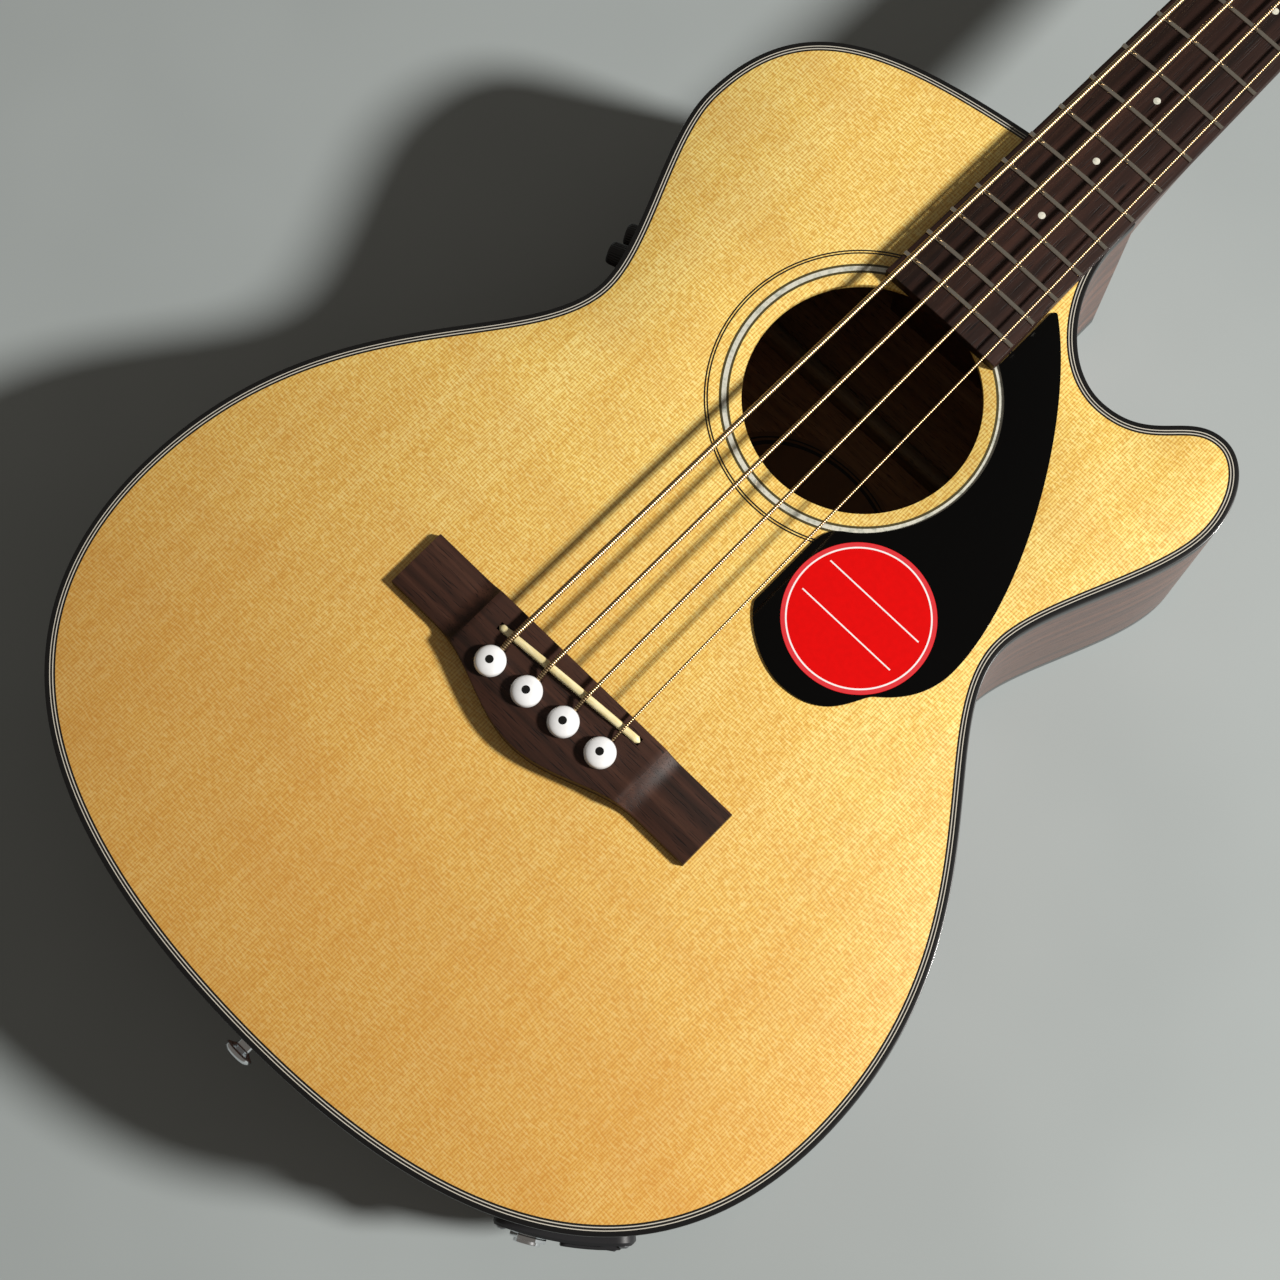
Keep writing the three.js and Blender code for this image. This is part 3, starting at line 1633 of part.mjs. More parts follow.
const instrument = new THREE.Group();
instrument.add(
  ...soundboard(),
  backPanel(),
  ...sides(),
  ...blocks(),
  ...linings(),
  ...bindings(),
  ...topBraces(),
  ...backBraces(),
  rosette(),
  pickguard(),
  bridge(),
  saddle(),
  ...strings.map(bridgePin),
  ...strings.map(stringTube),
  neck(),
  headOverlay(),
  fingerboard(),
  nut(),
  ...trussRod(),
  head,
  strapButton(),
  preampPanel(),
  knob("volume_knob", volumeKnobAlong, volumeKnobDepth),
  knob("tone_knob", toneKnobAlong, toneKnobDepth),
  tunerButton(),
  jackPlate(),
  outputJack(),
  batteryDrawer(),
  battery(),
);

// The instrument stands centred on its own origin, with its back at height zero
instrument.updateMatrixWorld(true);
const bounds = new THREE.Box3().setFromObject(instrument, true);
instrument.position.set(0, -(bounds.min.y + bounds.max.y) / 2, bodyDepth);

const acousticBass = new THREE.Group();
acousticBass.add(instrument);

export default acousticBass;
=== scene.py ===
"""Looks of an acoustic bass guitar that lies on its back.

Lengths are in millimetres in the instrument's own frame: x to the cutaway side, y from the saddle
line towards the headstock, z up from the soundboard's face. at() turns them into metres in the
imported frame.
"""

import math
from types import SimpleNamespace

import bmesh
import bpy
from mathutils import Matrix, Vector


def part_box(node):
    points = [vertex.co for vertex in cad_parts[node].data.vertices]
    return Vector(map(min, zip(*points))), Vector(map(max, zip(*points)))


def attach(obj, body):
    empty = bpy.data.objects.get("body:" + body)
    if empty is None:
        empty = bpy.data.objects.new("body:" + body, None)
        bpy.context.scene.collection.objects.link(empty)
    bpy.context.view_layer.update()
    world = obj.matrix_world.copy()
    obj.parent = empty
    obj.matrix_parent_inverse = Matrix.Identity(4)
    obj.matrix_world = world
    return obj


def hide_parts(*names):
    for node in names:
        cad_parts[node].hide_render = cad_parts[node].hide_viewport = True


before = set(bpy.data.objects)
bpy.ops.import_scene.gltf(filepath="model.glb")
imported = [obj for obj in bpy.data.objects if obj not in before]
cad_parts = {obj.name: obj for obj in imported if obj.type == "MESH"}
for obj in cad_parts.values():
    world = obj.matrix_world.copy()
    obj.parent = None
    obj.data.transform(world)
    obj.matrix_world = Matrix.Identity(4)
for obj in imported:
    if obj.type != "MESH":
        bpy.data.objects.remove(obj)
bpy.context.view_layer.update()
scene = bpy.context.scene

MM = 0.001
PER_MM = 1 / MM
TAIL = 188  # saddle line to the tail
SADDLE_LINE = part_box("side_bass")[0].y / MM + TAIL
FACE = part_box("soundboard_bass")[1].z / MM
ROOT = "instrument"
TURN = 2 * math.pi
QUARTER = math.pi / 2
HALF_ROUND = [math.pi * k / 8 for k in range(9)]
AXIS = 0.01  # radius at which a turned piece closes on its axis
LIFT = 0.02  # how far a piece stands off the one that carries it

DEPTH = 116  # soundboard's face to the back's
TOP = 3  # thickness of the soundboard, as BACK and WALL are of the back and the sides
BACK = 3
EDGE = 4.4  # width of the binding and its lines
LINE_DEPTH = 1.5  # how deep the lines are let in
WALL = 2.6
GAP = 0.3  # play between neighbouring solids
BINDING = 6  # height of the binding
WALL_LOW, WALL_HIGH = BINDING + GAP - DEPTH, -BINDING
HOLE = (0, 170.5)
HOLE_RADIUS = 50.1


def at(x, y, z):
    """Place in the instrument's frame, in millimetres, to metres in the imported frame."""
    return Vector((x * MM, (y + SADDLE_LINE) * MM, (z + FACE) * MM))


# Materials

RAMP = "ShaderNodeValToRGB"
NOISE = "ShaderNodeTexNoise"
MIX = "ShaderNodeMix"
MATHS = "ShaderNodeMath"
SCALE_BY = "ShaderNodeVectorMath"
COORDS = "ShaderNodeTexCoord"
BUMP = "ShaderNodeBump"


def linear(hex_colour):
    """sRGB hex to the linear colour that a shader socket takes."""
    values = [int(hex_colour[i:i + 2], 16) / 255 for i in (1, 3, 5)]
    return tuple(v / 12.92 if v <= 0.04045 else ((v + 0.055) / 1.055) ** 2.4 for v in values) + (1,)


def add(tree, kind, inputs=None, take=0, stops=None, whole=False, **settings):
    """Adds a node and gives its output socket take, or the whole node.

    inputs maps sockets to values or to the sockets that feed them; stops are (place, colour) of a
    colour ramp, each colour a hex value, a linear colour or a grey.
    """
    made = tree.nodes.new(kind)
    for name, value in settings.items():
        setattr(made, name, value)
    for socket, value in (inputs or {}).items():
        if isinstance(value, bpy.types.NodeSocket):
            tree.links.new(value, made.inputs[socket])
        else:
            made.inputs[socket].default_value = value
    if stops:
        elements = made.color_ramp.elements
        while len(elements) < len(stops):
            elements.new(0.5)
        for element, (place, colour) in zip(elements, stops):
            if isinstance(colour, str):
                colour = linear(colour)
            element.position = place
            element.color = colour if isinstance(colour, tuple) else (colour, colour, colour, 1)
    return made if whole else made.outputs[take]


def finish(name, sockets):
    """A material by its Principled sockets; returns it with its tree and shader."""
    material = bpy.data.materials.new(name)
    material.use_nodes = True
    shader = material.node_tree.nodes["Principled BSDF"]
    for socket, value in sockets.items():
        shader.inputs[socket].default_value = value
    return material, material.node_tree, shader


def feed(shader, sources):
    """Links other nodes' sockets into a shader's own, by name."""
    for socket, source in sources.items():
        shader.id_data.links.new(source, shader.inputs[socket])


def spruce_top():
    """Quartersawn spruce under thin satin lacquer, bookmatched at the centre: fine darker lines
    along the strings, crossed by short silky flecks, with broad warm and pale stripes."""
    sockets = {"Roughness": 0.36, "Coat Weight": 0.25, "Coat Roughness": 0.22}
    material, tree, shader = finish("lacquered_spruce", sockets)
    coords = add(tree, COORDS, take="Object")
    parts = add(tree, "ShaderNodeSeparateXYZ", {0: coords}, whole=True).outputs
    mirrored = add(tree, MATHS, {0: parts[0]}, operation="ABSOLUTE")
    matched = add(tree, "ShaderNodeCombineXYZ", {0: mirrored, 1: parts[1], 2: parts[2]})
    # each layer's size in millimetres across and along the strings
    places, layers = {}, {}
    for layer, source, across, along, noise in (
        ("lines", matched, 1.3, 60, {"Detail": 3.0, "Roughness": 0.6}),
        ("stripes", matched, 14, 500, {"Detail": 2.0}),
        ("flecks", coords, 3.5, 0.8, {"Detail": 3.0, "Roughness": 0.65}),
        ("clouds", coords, 55, 18, {"Detail": 2.0}),
    ):
        size = (PER_MM / across, PER_MM / along, PER_MM)
        places[layer] = add(tree, SCALE_BY, {0: source, 1: size}, operation="MULTIPLY")
        layers[layer] = add(tree, NOISE, {"Vector": places[layer], "Scale": 1.0, **noise})
    # a wave texture runs through one turn in pi / 10 of its scaled length
    wave = {"Scale": math.pi / 10, "Distortion": 5.0, "Detail": 2.0, "Detail Scale": 0.7}
    rings = add(tree, "ShaderNodeTexWave", {"Vector": places["lines"], **wave}, take=1)
    lines = add(tree, MATHS, {0: rings, 1: layers["lines"]}, operation="MULTIPLY")
    # painted shade: 0 at the tail and 1 at the upper bout, so the top is painted darker and browner towards
    # the tail, where less of the lamp's light falls
    from_tail = {0: parts[1], 1: PER_MM / (2 * TAIL), 2: (TAIL - SADDLE_LINE) / (2 * TAIL)}
    tail_shade = add(tree, MATHS, from_tail, operation="MULTIPLY_ADD")
    stripes = [(0.32, "#ecc766"), (0.5, "#f1d06f"), (0.68, "#f5d97e")]
    colour = add(tree, RAMP, {0: layers["stripes"]}, stops=stripes)
    for source, stops, tint in (
        (lines, [(0.05, 0.7), (0.2, 0.25), (0.36, 0.0)], "#b9822f"),
        (layers["flecks"], [(0.5, 0.0), (0.64, 0.6)], "#fdec9f"),
        (layers["flecks"], [(0.36, 0.75), (0.47, 0.0)], "#cd9a42"),
        (layers["clouds"], [(0.35, 0.16), (0.6, 0.0)], "#c2853f"),
        # the painted shade towards the tail, not a colour of the wood
        (tail_shade, [(0.2, 0.5), (0.75, 0.0)], "#c98538"),
    ):
        share = add(tree, RAMP, {0: source}, stops=stops)
        colour = add(tree, MIX, {0: share, 6: colour, 7: linear(tint)}, take=2, data_type="RGBA")
    relief = add(tree, BUMP, {"Height": lines, "Strength": 0.35, "Distance": 0.05 * MM})
    feed(shader, {"Base Color": colour, "Normal": relief})
    return material


def open_pored(name, colours, grain_axis, pore_size, roughness, coat=0.0, shine=0.5):
    """Open-pored hardwood, sanded and oiled or sprayed satin: brown bands and short dark pores along
    the grain. grain_axis is the object's axis that the grain follows, or None for the piece's own UV
    map; pore_size is (length, width) in millimetres."""
    sockets = {"Roughness": roughness, "Coat Weight": coat, "Coat Roughness": 0.2}
    material, tree, shader = finish(name, {**sockets, "Specular IOR Level": shine})
    if grain_axis is None:
        coords = add(tree, "ShaderNodeUVMap", uv_map="UVMap")
        grain_axis = 0
    else:
        coords = add(tree, COORDS, take="Object")
    dark, middle, light = colours
    layers = {}
    for layer, (long, wide), detail in (
        ("bands", (160, 6), 3.0), ("pores", pore_size, 1.0), ("streaks", (70, 1.6), 2.0),
    ):
        factors = [PER_MM / wide] * 3
        factors[grain_axis] = PER_MM / long
        place = add(tree, SCALE_BY, {0: coords, 1: tuple(factors)}, operation="MULTIPLY")
        noise = {"Vector": place, "Scale": 1.0, "Detail": detail, "Roughness": 0.5}
        layers[layer] = add(tree, NOISE, noise)
    bands = [(0.3, dark), (0.5, middle), (0.7, light)]
    colour = add(tree, RAMP, {0: layers["bands"]}, stops=bands)
    for layer, stops, blend in (
        ("streaks", [(0.4, 0.35), (0.58, 0.0)], "MIX"), ("pores", [(0.3, 0.75), (0.4, 0.0)], "MULTIPLY"),
    ):
        share = add(tree, RAMP, {0: layers[layer]}, stops=stops)
        mixed = {0: share, 6: colour, 7: linear(dark)}
        colour = add(tree, MIX, mixed, take=2, data_type="RGBA", blend_type=blend)
    height = add(tree, RAMP, {0: layers["pores"]}, stops=[(0.28, 0.0), (0.42, 1.0)])
    relief = add(tree, BUMP, {"Height": height, "Strength": 0.5, "Distance": 0.08 * MM})
    feed(shader, {"Base Color": colour, "Normal": relief})
    return material


def grained(name, sockets, size, noise, stops, target="Base Color", relief=None):
    """A finish with one grain: its size in millimetres along x, y and z, the stops that it runs the
    socket target through, and the strength and height in millimetres of its relief."""
    material, tree, shader = finish(name, sockets)
    coords = add(tree, COORDS, take="Object")
    factors = tuple(PER_MM / side for side in size)
    place = add(tree, SCALE_BY, {0: coords, 1: factors}, operation="MULTIPLY")
    grain = add(tree, NOISE, {"Vector": place, "Scale": 1.0, **noise})
    feed(shader, {target: add(tree, RAMP, {0: grain}, stops=stops)})
    if relief:
        bump = {"Height": grain, "Strength": relief[0], "Distance": relief[1] * MM}
        feed(shader, {"Normal": add(tree, BUMP, bump)})
    return material


def moulded_plastic(name, colour, roughness, grit=0.0, coat=0.0, shine=0.5):
    """Moulded or sheet plastic: even in colour with faint waves, or a fine spark-eroded grain where
    grit is given in millimetres; polished sheet gets a clear coat."""
    sockets = {"Roughness": roughness, "Coat Weight": coat, "Coat Roughness": 0.05}
    full = linear(colour)
    dulled = tuple(0.94 * value for value in full[:3]) + (1,)
    return grained(
        name, {**sockets, "Specular IOR Level": shine}, (grit or 2.5,) * 3, {"Detail": 2.0},
        [(0.35, dulled), (0.65, full)], relief=(0.25 if grit else 0.04, 0.06),
    )


def sanded_bone(name, light, dark):
    """Bone sanded smooth: cream with faint darker flow lines and a soft glow at its edges."""
    glow = {"Subsurface Weight": 0.08, "Subsurface Radius": (0.0012, 0.0009, 0.0005)}
    return grained(
        name, {"Roughness": 0.38, **glow}, (9, 1.5, 2), {"Detail": 3.0, "Roughness": 0.55},
        [(0.35, dark), (0.6, light)],
    )


def metal(name, colour, low, high, streak=0.0):
    """Plated or turned metal: roughness wanders between low and high as fine handling marks, drawn
    out along y where streak gives a length in millimetres."""
    size = (0.3, streak, 0.3) if streak else (6, 6, 6)
    return grained(
        name, {"Base Color": linear(colour), "Metallic": 1.0}, size, {"Detail": 3.0, "Roughness": 0.6},
        [(0.3, low), (0.7, high)], target="Roughness",
    )


def wound_bronze():
    """Phosphor bronze wrap wire: a fine screw-like ridge, coloured with painted shade dark in its grooves and
    a painted highlight of pale gold on its crests, over a real relief. The real wrap is about 0.5 mm; it is
    drawn 1 mm so that it shows."""
    material, tree, shader = finish("wound_bronze", {"Metallic": 1.0, "Roughness": 0.34})
    wrap = 1.0
    along = add(tree, "ShaderNodeAttribute", take="Fac", attribute_name="along")
    turns = add(tree, MATHS, {0: along, 1: TURN * PER_MM / wrap}, operation="MULTIPLY")
    wave = add(tree, MATHS, {0: turns}, operation="SINE")
    height = add(tree, MATHS, {0: wave, 1: 0.5, 2: 0.5}, operation="MULTIPLY_ADD")
    # painted shade in the grooves and a painted highlight on the crests, following the ridge's height
    stops = [(0.0, "#5a4433"), (0.5, "#a88a62"), (1.0, "#dcc79c")]
    colour = add(tree, RAMP, {0: height}, stops=stops)
    relief = add(tree, BUMP, {"Height": height, "Strength": 0.5, "Distance": 0.12 * MM})
    feed(shader, {"Base Color": colour, "Normal": relief})
    return material


def label_paper():
    """Uncoated brown paper with two dark rings near its edge; the piece's UV map runs from its middle
    to its edge. Faint fibres keep it from looking flat."""
    material, tree, shader = finish("label_paper", {"Roughness": 0.7})
    uv = add(tree, "ShaderNodeUVMap", uv_map="UVMap")
    outwards = add(tree, "ShaderNodeSeparateXYZ", {0: uv})
    paper, ink = "#7d5c3c", "#1d1512"
    stops = [(0.0, paper), (0.86, ink), (0.905, paper), (0.93, ink), (0.95, paper)]
    rings = add(tree, RAMP, {0: outwards}, whole=True, stops=stops)
    rings.color_ramp.interpolation = "CONSTANT"
    coords = add(tree, COORDS, take="Object")
    place = add(tree, SCALE_BY, {0: coords, 1: (PER_MM / 0.8,) * 3}, operation="MULTIPLY")
    fibres = add(tree, NOISE, {"Vector": place, "Scale": 1.0, "Detail": 3.0, "Roughness": 0.6})
    shade = add(tree, RAMP, {0: fibres}, stops=[(0.3, 0.85), (0.7, 1.0)])
    mixed = {0: 1.0, 6: rings.outputs[0], 7: shade}
    colour = add(tree, MIX, mixed, take=2, data_type="RGBA", blend_type="MULTIPLY")
    feed(shader, {"Base Color": colour})
    return material


SPRUCE = spruce_top()
MAHOGANY_TONES = ("#3f241a", "#5f3a2a", "#7a4e39")
MAHOGANY = open_pored("satin_mahogany_sides", MAHOGANY_TONES, None, (7, 0.55), 0.38, 0.3)
BACK_MAHOGANY = open_pored("satin_mahogany_back", MAHOGANY_TONES, 1, (7, 0.55), 0.38, 0.3)
NECK_TONES = ("#3a2016", "#573222", "#6b4330")
NECK_MAHOGANY = open_pored("rubbed_mahogany_neck", NECK_TONES, 1, (8, 0.5), 0.42, 0.5)
BRIDGE_TONES = ("#20110a", "#382016", "#4c3023")
BRIDGE_WOOD = open_pored("oiled_walnut_bridge", BRIDGE_TONES, 0, (10, 0.5), 0.55, 0.0, 0.3)
BOARD_TONES = ("#180d09", "#2c1a14", "#402820")
BOARD_WOOD = open_pored("oiled_walnut_board", BOARD_TONES, 1, (12, 0.5), 0.5, 0.0, 0.25)
RAW_TONES = ("#7b573a", "#946d4a", "#aa8460")
RAW_BACK = open_pored("unfinished_back_inside", RAW_TONES, 0, (6, 0.4), 0.7)
BRACE_TONES = ("#5d4c38", "#77644b", "#8d7a5e")
BRACE_WOOD = open_pored("sanded_back_brace", BRACE_TONES, 0, (5, 0.4), 0.6)
# unfinished spruce of braces and linings: pale, dry and matt, with faint long lines
BARE_SPRUCE = grained(
    "bare_spruce", {"Roughness": 0.8}, (3, 30, 3), {"Detail": 3.0, "Roughness": 0.6},
    [(0.35, "#a87f4a"), (0.5, "#c9a066"), (0.65, "#dbb67e")], relief=(0.3, 0.15),
)
# pearl celluloid, polished flush: milky grey and green swirls a few millimetres wide under a gloss
PEARL = grained(
    "pearl_celluloid", {"Roughness": 0.2, "Coat Weight": 0.6, "Coat Roughness": 0.08}, (5, 5, 5),
    {"Detail": 4.0, "Roughness": 0.7},
    [(0.3, "#8f9488"), (0.45, "#c3c4b6"), (0.55, "#dcdacb"), (0.7, "#a9ab9d")],
)
BLACK_BINDING = moulded_plastic("black_binding_celluloid", "#0b0b0c", 0.3, 0.0, 0.3)
WHITE_LINE = moulded_plastic("white_purfling_fibre", "#c9c4b6", 0.4)
BLACK_LINE = moulded_plastic("black_purfling_fibre", "#161413", 0.35)
OLIVE_LINE = moulded_plastic("dark_olive_fibre", "#4b4325", 0.4)
GUARD_BLACK = moulded_plastic("pickguard_celluloid", "#040404", 0.12, 0.0, 0.0, 0.2)
STICKER_RED = moulded_plastic("red_vinyl", "#d80505", 0.35, 0.0, 0.0, 0.2)
STICKER_RIM = moulded_plastic("red_vinyl_edge", "#d9343a", 0.3)
STICKER_WHITE = moulded_plastic("white_vinyl", "#f2ecec", 0.35)
PIN_WHITE = moulded_plastic("white_pin_plastic", "#eeeff0", 0.22, 0.0, 0.4)
PIN_BLACK = moulded_plastic("black_pin_dot", "#101010", 0.15, 0.0, 0.5)
ABS_BLACK = moulded_plastic("moulded_black_abs", "#17171a", 0.5, 0.35)
KNOB_BLACK = moulded_plastic("satin_black_knob", "#121214", 0.35, 0.5)
MARK_WHITE = moulded_plastic("white_paint_mark", "#e8e8e6", 0.4)
CELL_JACKET = moulded_plastic("battery_jacket", "#3b3d42", 0.35)
BONE = sanded_bone("sanded_bone_saddle", "#efe3b4", "#dccb91")
NUT_BONE = sanded_bone("sanded_bone_nut", "#efe8d2", "#ddd2b0")
BRONZE = wound_bronze()
NICKEL = metal("nickel_silver", "#ebe6da", 0.14, 0.24, 8)
CHROME = metal("polished_chrome", "#e8eaed", 0.08, 0.2)
STEEL = metal("turned_steel", "#8f9195", 0.25, 0.45, 4)
INSIDE_LABEL = label_paper()

# Mesh helpers


def shift(x, y, z):
    return Matrix.Translation(Vector((x, y, z)))


def rotation(angle, axis):
    return Matrix.Rotation(angle, 4, axis)


def shown(name, data):
    """An object at the origin with a mesh, or with a bmesh that is then freed."""
    if isinstance(data, bmesh.types.BMesh):
        work, data = data, bpy.data.meshes.new(name)
        work.to_mesh(data)
        work.free()
    piece = bpy.data.objects.new(name, data)
    scene.collection.objects.link(piece)
    return piece


def make_mesh(name, vertices, faces, uvs=None, edges=()):
    """A piece from corners in millimetres; uvs holds one list of (u, v) in millimetres a face."""
    data = bpy.data.meshes.new(name)
    data.from_pydata([at(*v) for v in vertices], edges, faces)
    if uvs:
        layer = data.uv_layers.new(name="UVMap")
        for loop, (u, v) in zip(layer.data, [pair for face in uvs for pair in face]):
            loop.uv = (u * MM, v * MM)
    return shown(name, data)


def recalculated(piece):
    """Doubles merged and faces turned outwards."""
    work = bmesh.new()
    work.from_mesh(piece.data)
    bmesh.ops.remove_doubles(work, verts=work.verts, dist=1e-7)
    bmesh.ops.recalc_face_normals(work, faces=work.faces)
    work.to_mesh(piece.data)
    work.free()
    return piece


def settled(piece):
    """Puts what a piece's modifiers make in the place of its mesh."""
    piece.update_tag()
    graph = bpy.context.evaluated_depsgraph_get()
    graph.update()
    data = bpy.data.meshes.new_from_object(piece.evaluated_get(graph))
    piece.modifiers.clear()
    piece.data = data
    return piece


def modified(piece, kind, **settings):
    """Applies one modifier and leaves a plain mesh."""
    modifier = piece.modifiers.new(kind, kind)
    for key, value in settings.items():
        setattr(modifier, key, value)
    return settled(piece)


def rounded(piece, width, segments=2, angle=30):
    limit = {"limit_method": "ANGLE", "angle_limit": math.radians(angle)}
    return modified(piece, "BEVEL", width=width * MM, segments=segments, **limit)


def cut(piece, *others, operation="DIFFERENCE"):
    """Takes other pieces out of a piece, or unites them with it, and deletes them."""
    for other in others:
        modified(piece, "BOOLEAN", operation=operation, solver="EXACT", object=other)
        bpy.data.objects.remove(other)
    return piece


def joined(name, pieces):
    """One object from several, each keeping its own closed shell."""
    work = bmesh.new()
    for piece in pieces:
        work.from_mesh(piece.data)
        bpy.data.objects.remove(piece)
    return shown(name, work)


def dress(piece, material, body=ROOT, slot=None, replaces=(), smooth=35):
    """Gives a finished piece its material, shading and body, and hides the nodes it stands for; slot is not
    used.
    """
    if material is not None:
        piece.data.materials.clear()
        piece.data.materials.append(material)
    for side in piece.data.polygons:
        side.use_smooth = True
    piece.data.set_sharp_from_angle(angle=math.radians(smooth))
    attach(piece, body)
    if replaces:
        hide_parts(*replaces)
    return piece


def skin(name, rings, capped=True):
    """Lofts closed rings of equally many corners. Its UV map counts along the loft, then round it."""
    count = len(rings[0])
    faces, uvs = [], []
    for r in range(len(rings) - 1):
        a, b = r * count, (r + 1) * count
        for i in range(count):
            j = (i + 1) % count
            faces.append((a + i, a + j, b + j, b + i))
            uvs.append([(r, i), (r, i + 1), (r + 1, i + 1), (r + 1, i)])
    if capped:
        last = (len(rings) - 1) * count
        faces += [tuple(range(count - 1, -1, -1)), tuple(range(last, last + count))]
        uvs += [[(0, i) for i in range(count)]] * 2
    return recalculated(make_mesh(name, [corner for ring in rings for corner in ring], faces, uvs))


def filled(name, loops, bottom, top, place=Matrix()):
    """A plate between two heights; the first loop is its edge and the others are holes."""
    work = bmesh.new()
    edges = []
    for loop in loops:
        corners = [work.verts.new(at(*(place @ Vector((x, y, top))))) for x, y in loop]
        edges += [work.edges.new(pair) for pair in zip(corners, corners[1:] + corners[:1])]
    bmesh.ops.triangle_fill(work, use_beauty=True, edges=edges)
    raised = bmesh.ops.extrude_face_region(work, geom=list(work.faces))["geom"]
    down = (place.to_3x3() @ Vector((0, 0, 1))) * (bottom - top) * MM
    moved = [item for item in raised if isinstance(item, bmesh.types.BMVert)]
    bmesh.ops.translate(work, verts=moved, vec=down)
    bmesh.ops.recalc_face_normals(work, faces=work.faces)
    return shown(name, work)


def ring_points(radius, count, centre=(0, 0)):
    angles = [TURN * i / count for i in range(count)]
    return [(centre[0] + radius * math.cos(a), centre[1] + radius * math.sin(a)) for a in angles]


def polar(place, radius, angle, height):
    """A corner at a radius, angle and height in a place, a 4 by 4 matrix in millimetres."""
    return tuple(place @ Vector((radius * math.cos(angle), radius * math.sin(angle), height)))


def turned(name, profile, steps, place=Matrix()):
    """A turned piece: its profile is (radius, height) along the local z of place."""
    angles = [TURN * i / steps for i in range(steps)]
    return skin(name, [[polar(place, r, a, h) for a in angles] for r, h in profile])


def hollow(name, profile, steps, place=Matrix()):
    """A turned ring: its closed profile keeps clear of the axis."""
    angles = [TURN * i / steps for i in range(steps + 1)]
    return skin(name, [[polar(place, r, a, h) for r, h in profile] for a in angles], capped=False)


def oblong(outer, inner, bottom, top):
    """Profile of a flat ring or edge line."""
    return [(outer, bottom), (outer, top), (inner, top), (inner, bottom)]


def box_mesh(name, lo, hi, place=Matrix()):
    sides = list(zip(lo, hi))
    corners = [place @ Vector((x, y, z)) for z in sides[2] for y in sides[1] for x in sides[0]]
    faces = [(0, 2, 3, 1), (4, 5, 7, 6), (0, 1, 5, 4), (2, 6, 7, 3), (0, 4, 6, 2), (1, 3, 7, 5)]
    return recalculated(make_mesh(name, corners, faces))


def rounded_profile(profile, radius, steps=4):
    """Rounds the inner corners of a (radius, height) profile."""
    out = [profile[0]]
    for before, corner, after in zip(profile, profile[1:], profile[2:]):
        b, c, a = Vector(before), Vector(corner), Vector(after)
        r = min(radius, (b - c).length * 0.45, (a - c).length * 0.45)
        start, end = c + (b - c).normalized() * r, c + (a - c).normalized() * r
        for i in range(steps + 1):
            t = i / steps
            out.append(tuple((1 - t) ** 2 * start + 2 * t * (1 - t) * c + t * t * end))
    return out + [profile[-1]]


def polyline(name, lines):
    """A mesh of bare polylines, each a list of places in millimetres."""
    edges, first = [], 0
    for line in lines:
        edges += [(first + i, first + i + 1) for i in range(len(line) - 1)]
        first += len(line)
    return make_mesh(name, [place for line in lines for place in line], [], edges=edges)


def traced(start, *bends):
    """Places along cubic bends, each (handle, handle, end, steps), from a start that is kept."""
    points = [start]
    for handle, other, end, steps in bends:
        first = points[-1]
        for i in range(1, steps + 1):
            t = i / steps
            u = 1 - t
            weights = (u**3, 3 * u * u * t, 3 * u * t * t, t**3)
            corners = zip(weights, (first, handle, other, end))
            x, y = (sum(values) for values in zip(*((w * c[0], w * c[1]) for w, c in corners)))
            points.append((x, y))
    return points


# Geometry trees


def growing_tree(name, sockets, build):
    """A geometry tree with named inputs; build makes its shape, which ends plain and dressed."""
    tree = bpy.data.node_groups.new(name, "GeometryNodeTree")
    for socket, kind in (*sockets, ("Material", "Material")):
        tree.interface.new_socket(socket, in_out="INPUT", socket_type="NodeSocket" + kind)
    tree.interface.new_socket("Result", in_out="OUTPUT", socket_type="NodeSocketGeometry")
    inputs = add(tree, "NodeGroupInput", whole=True).outputs
    real = add(tree, "GeometryNodeRealizeInstances", {"Geometry": build(tree, inputs)})
    dressed = {"Geometry": real, "Material": inputs["Material"]}
    add(tree, "NodeGroupOutput", {"Result": add(tree, "GeometryNodeSetMaterial", dressed)}, whole=True)
    return tree


def grown(name, base, tree, **values):
    """Runs a geometry tree on a base mesh and keeps the plain result."""
    modifier = base.modifiers.new("grow", "NODES")
    modifier.node_group = tree
    for item in tree.interface.items_tree:
        if item.in_out == "INPUT" and item.name in values:
            modifier[item.identifier] = values[item.name]
    piece = shown(name, settled(base).data)
    bpy.data.objects.remove(base)
    return piece


def copies(tree, points, piece, turn):
    """A piece set on points, each copy turned."""
    shape = add(tree, "GeometryNodeObjectInfo", {"Object": piece}, take="Geometry")
    return add(tree, "GeometryNodeInstanceOnPoints", {"Points": points, "Instance": shape, "Rotation": turn})


def kerf_row(tree, inputs):
    """Blocks set along a path, one for each step."""
    path = add(tree, "GeometryNodeMeshToCurve", {"Mesh": inputs["Path"]})
    stepped = {"Curve": path, "Length": inputs["Step"]}
    points = add(tree, "GeometryNodeCurveToPoints", stepped, whole=True, mode="LENGTH").outputs
    tangent = {"Vector": points["Tangent"]}
    turn = add(tree, "FunctionNodeAlignRotationToVector", tangent, axis="X", pivot_axis="Z")
    return copies(tree, points["Points"], inputs["Block"], turn)


def string_tube(tree, inputs):
    """A round tube along each polyline, with its length kept in the attribute along."""
    path = add(tree, "GeometryNodeMeshToCurve", {"Mesh": inputs["Route"]})
    length = add(tree, "GeometryNodeSplineParameter", take="Length")
    stored = {"Geometry": path, "Name": "along", "Value": length}
    marked = add(tree, "GeometryNodeStoreNamedAttribute", stored, domain="POINT")
    round_by = {"Resolution": inputs["Sides"], "Radius": inputs["Radius"]}
    circle = add(tree, "GeometryNodeCurvePrimitiveCircle", round_by)
    swept = {"Curve": marked, "Profile Curve": circle, "Fill Caps": True}
    return add(tree, "GeometryNodeSetShadeSmooth", {"Geometry": add(tree, "GeometryNodeCurveToMesh", swept)})


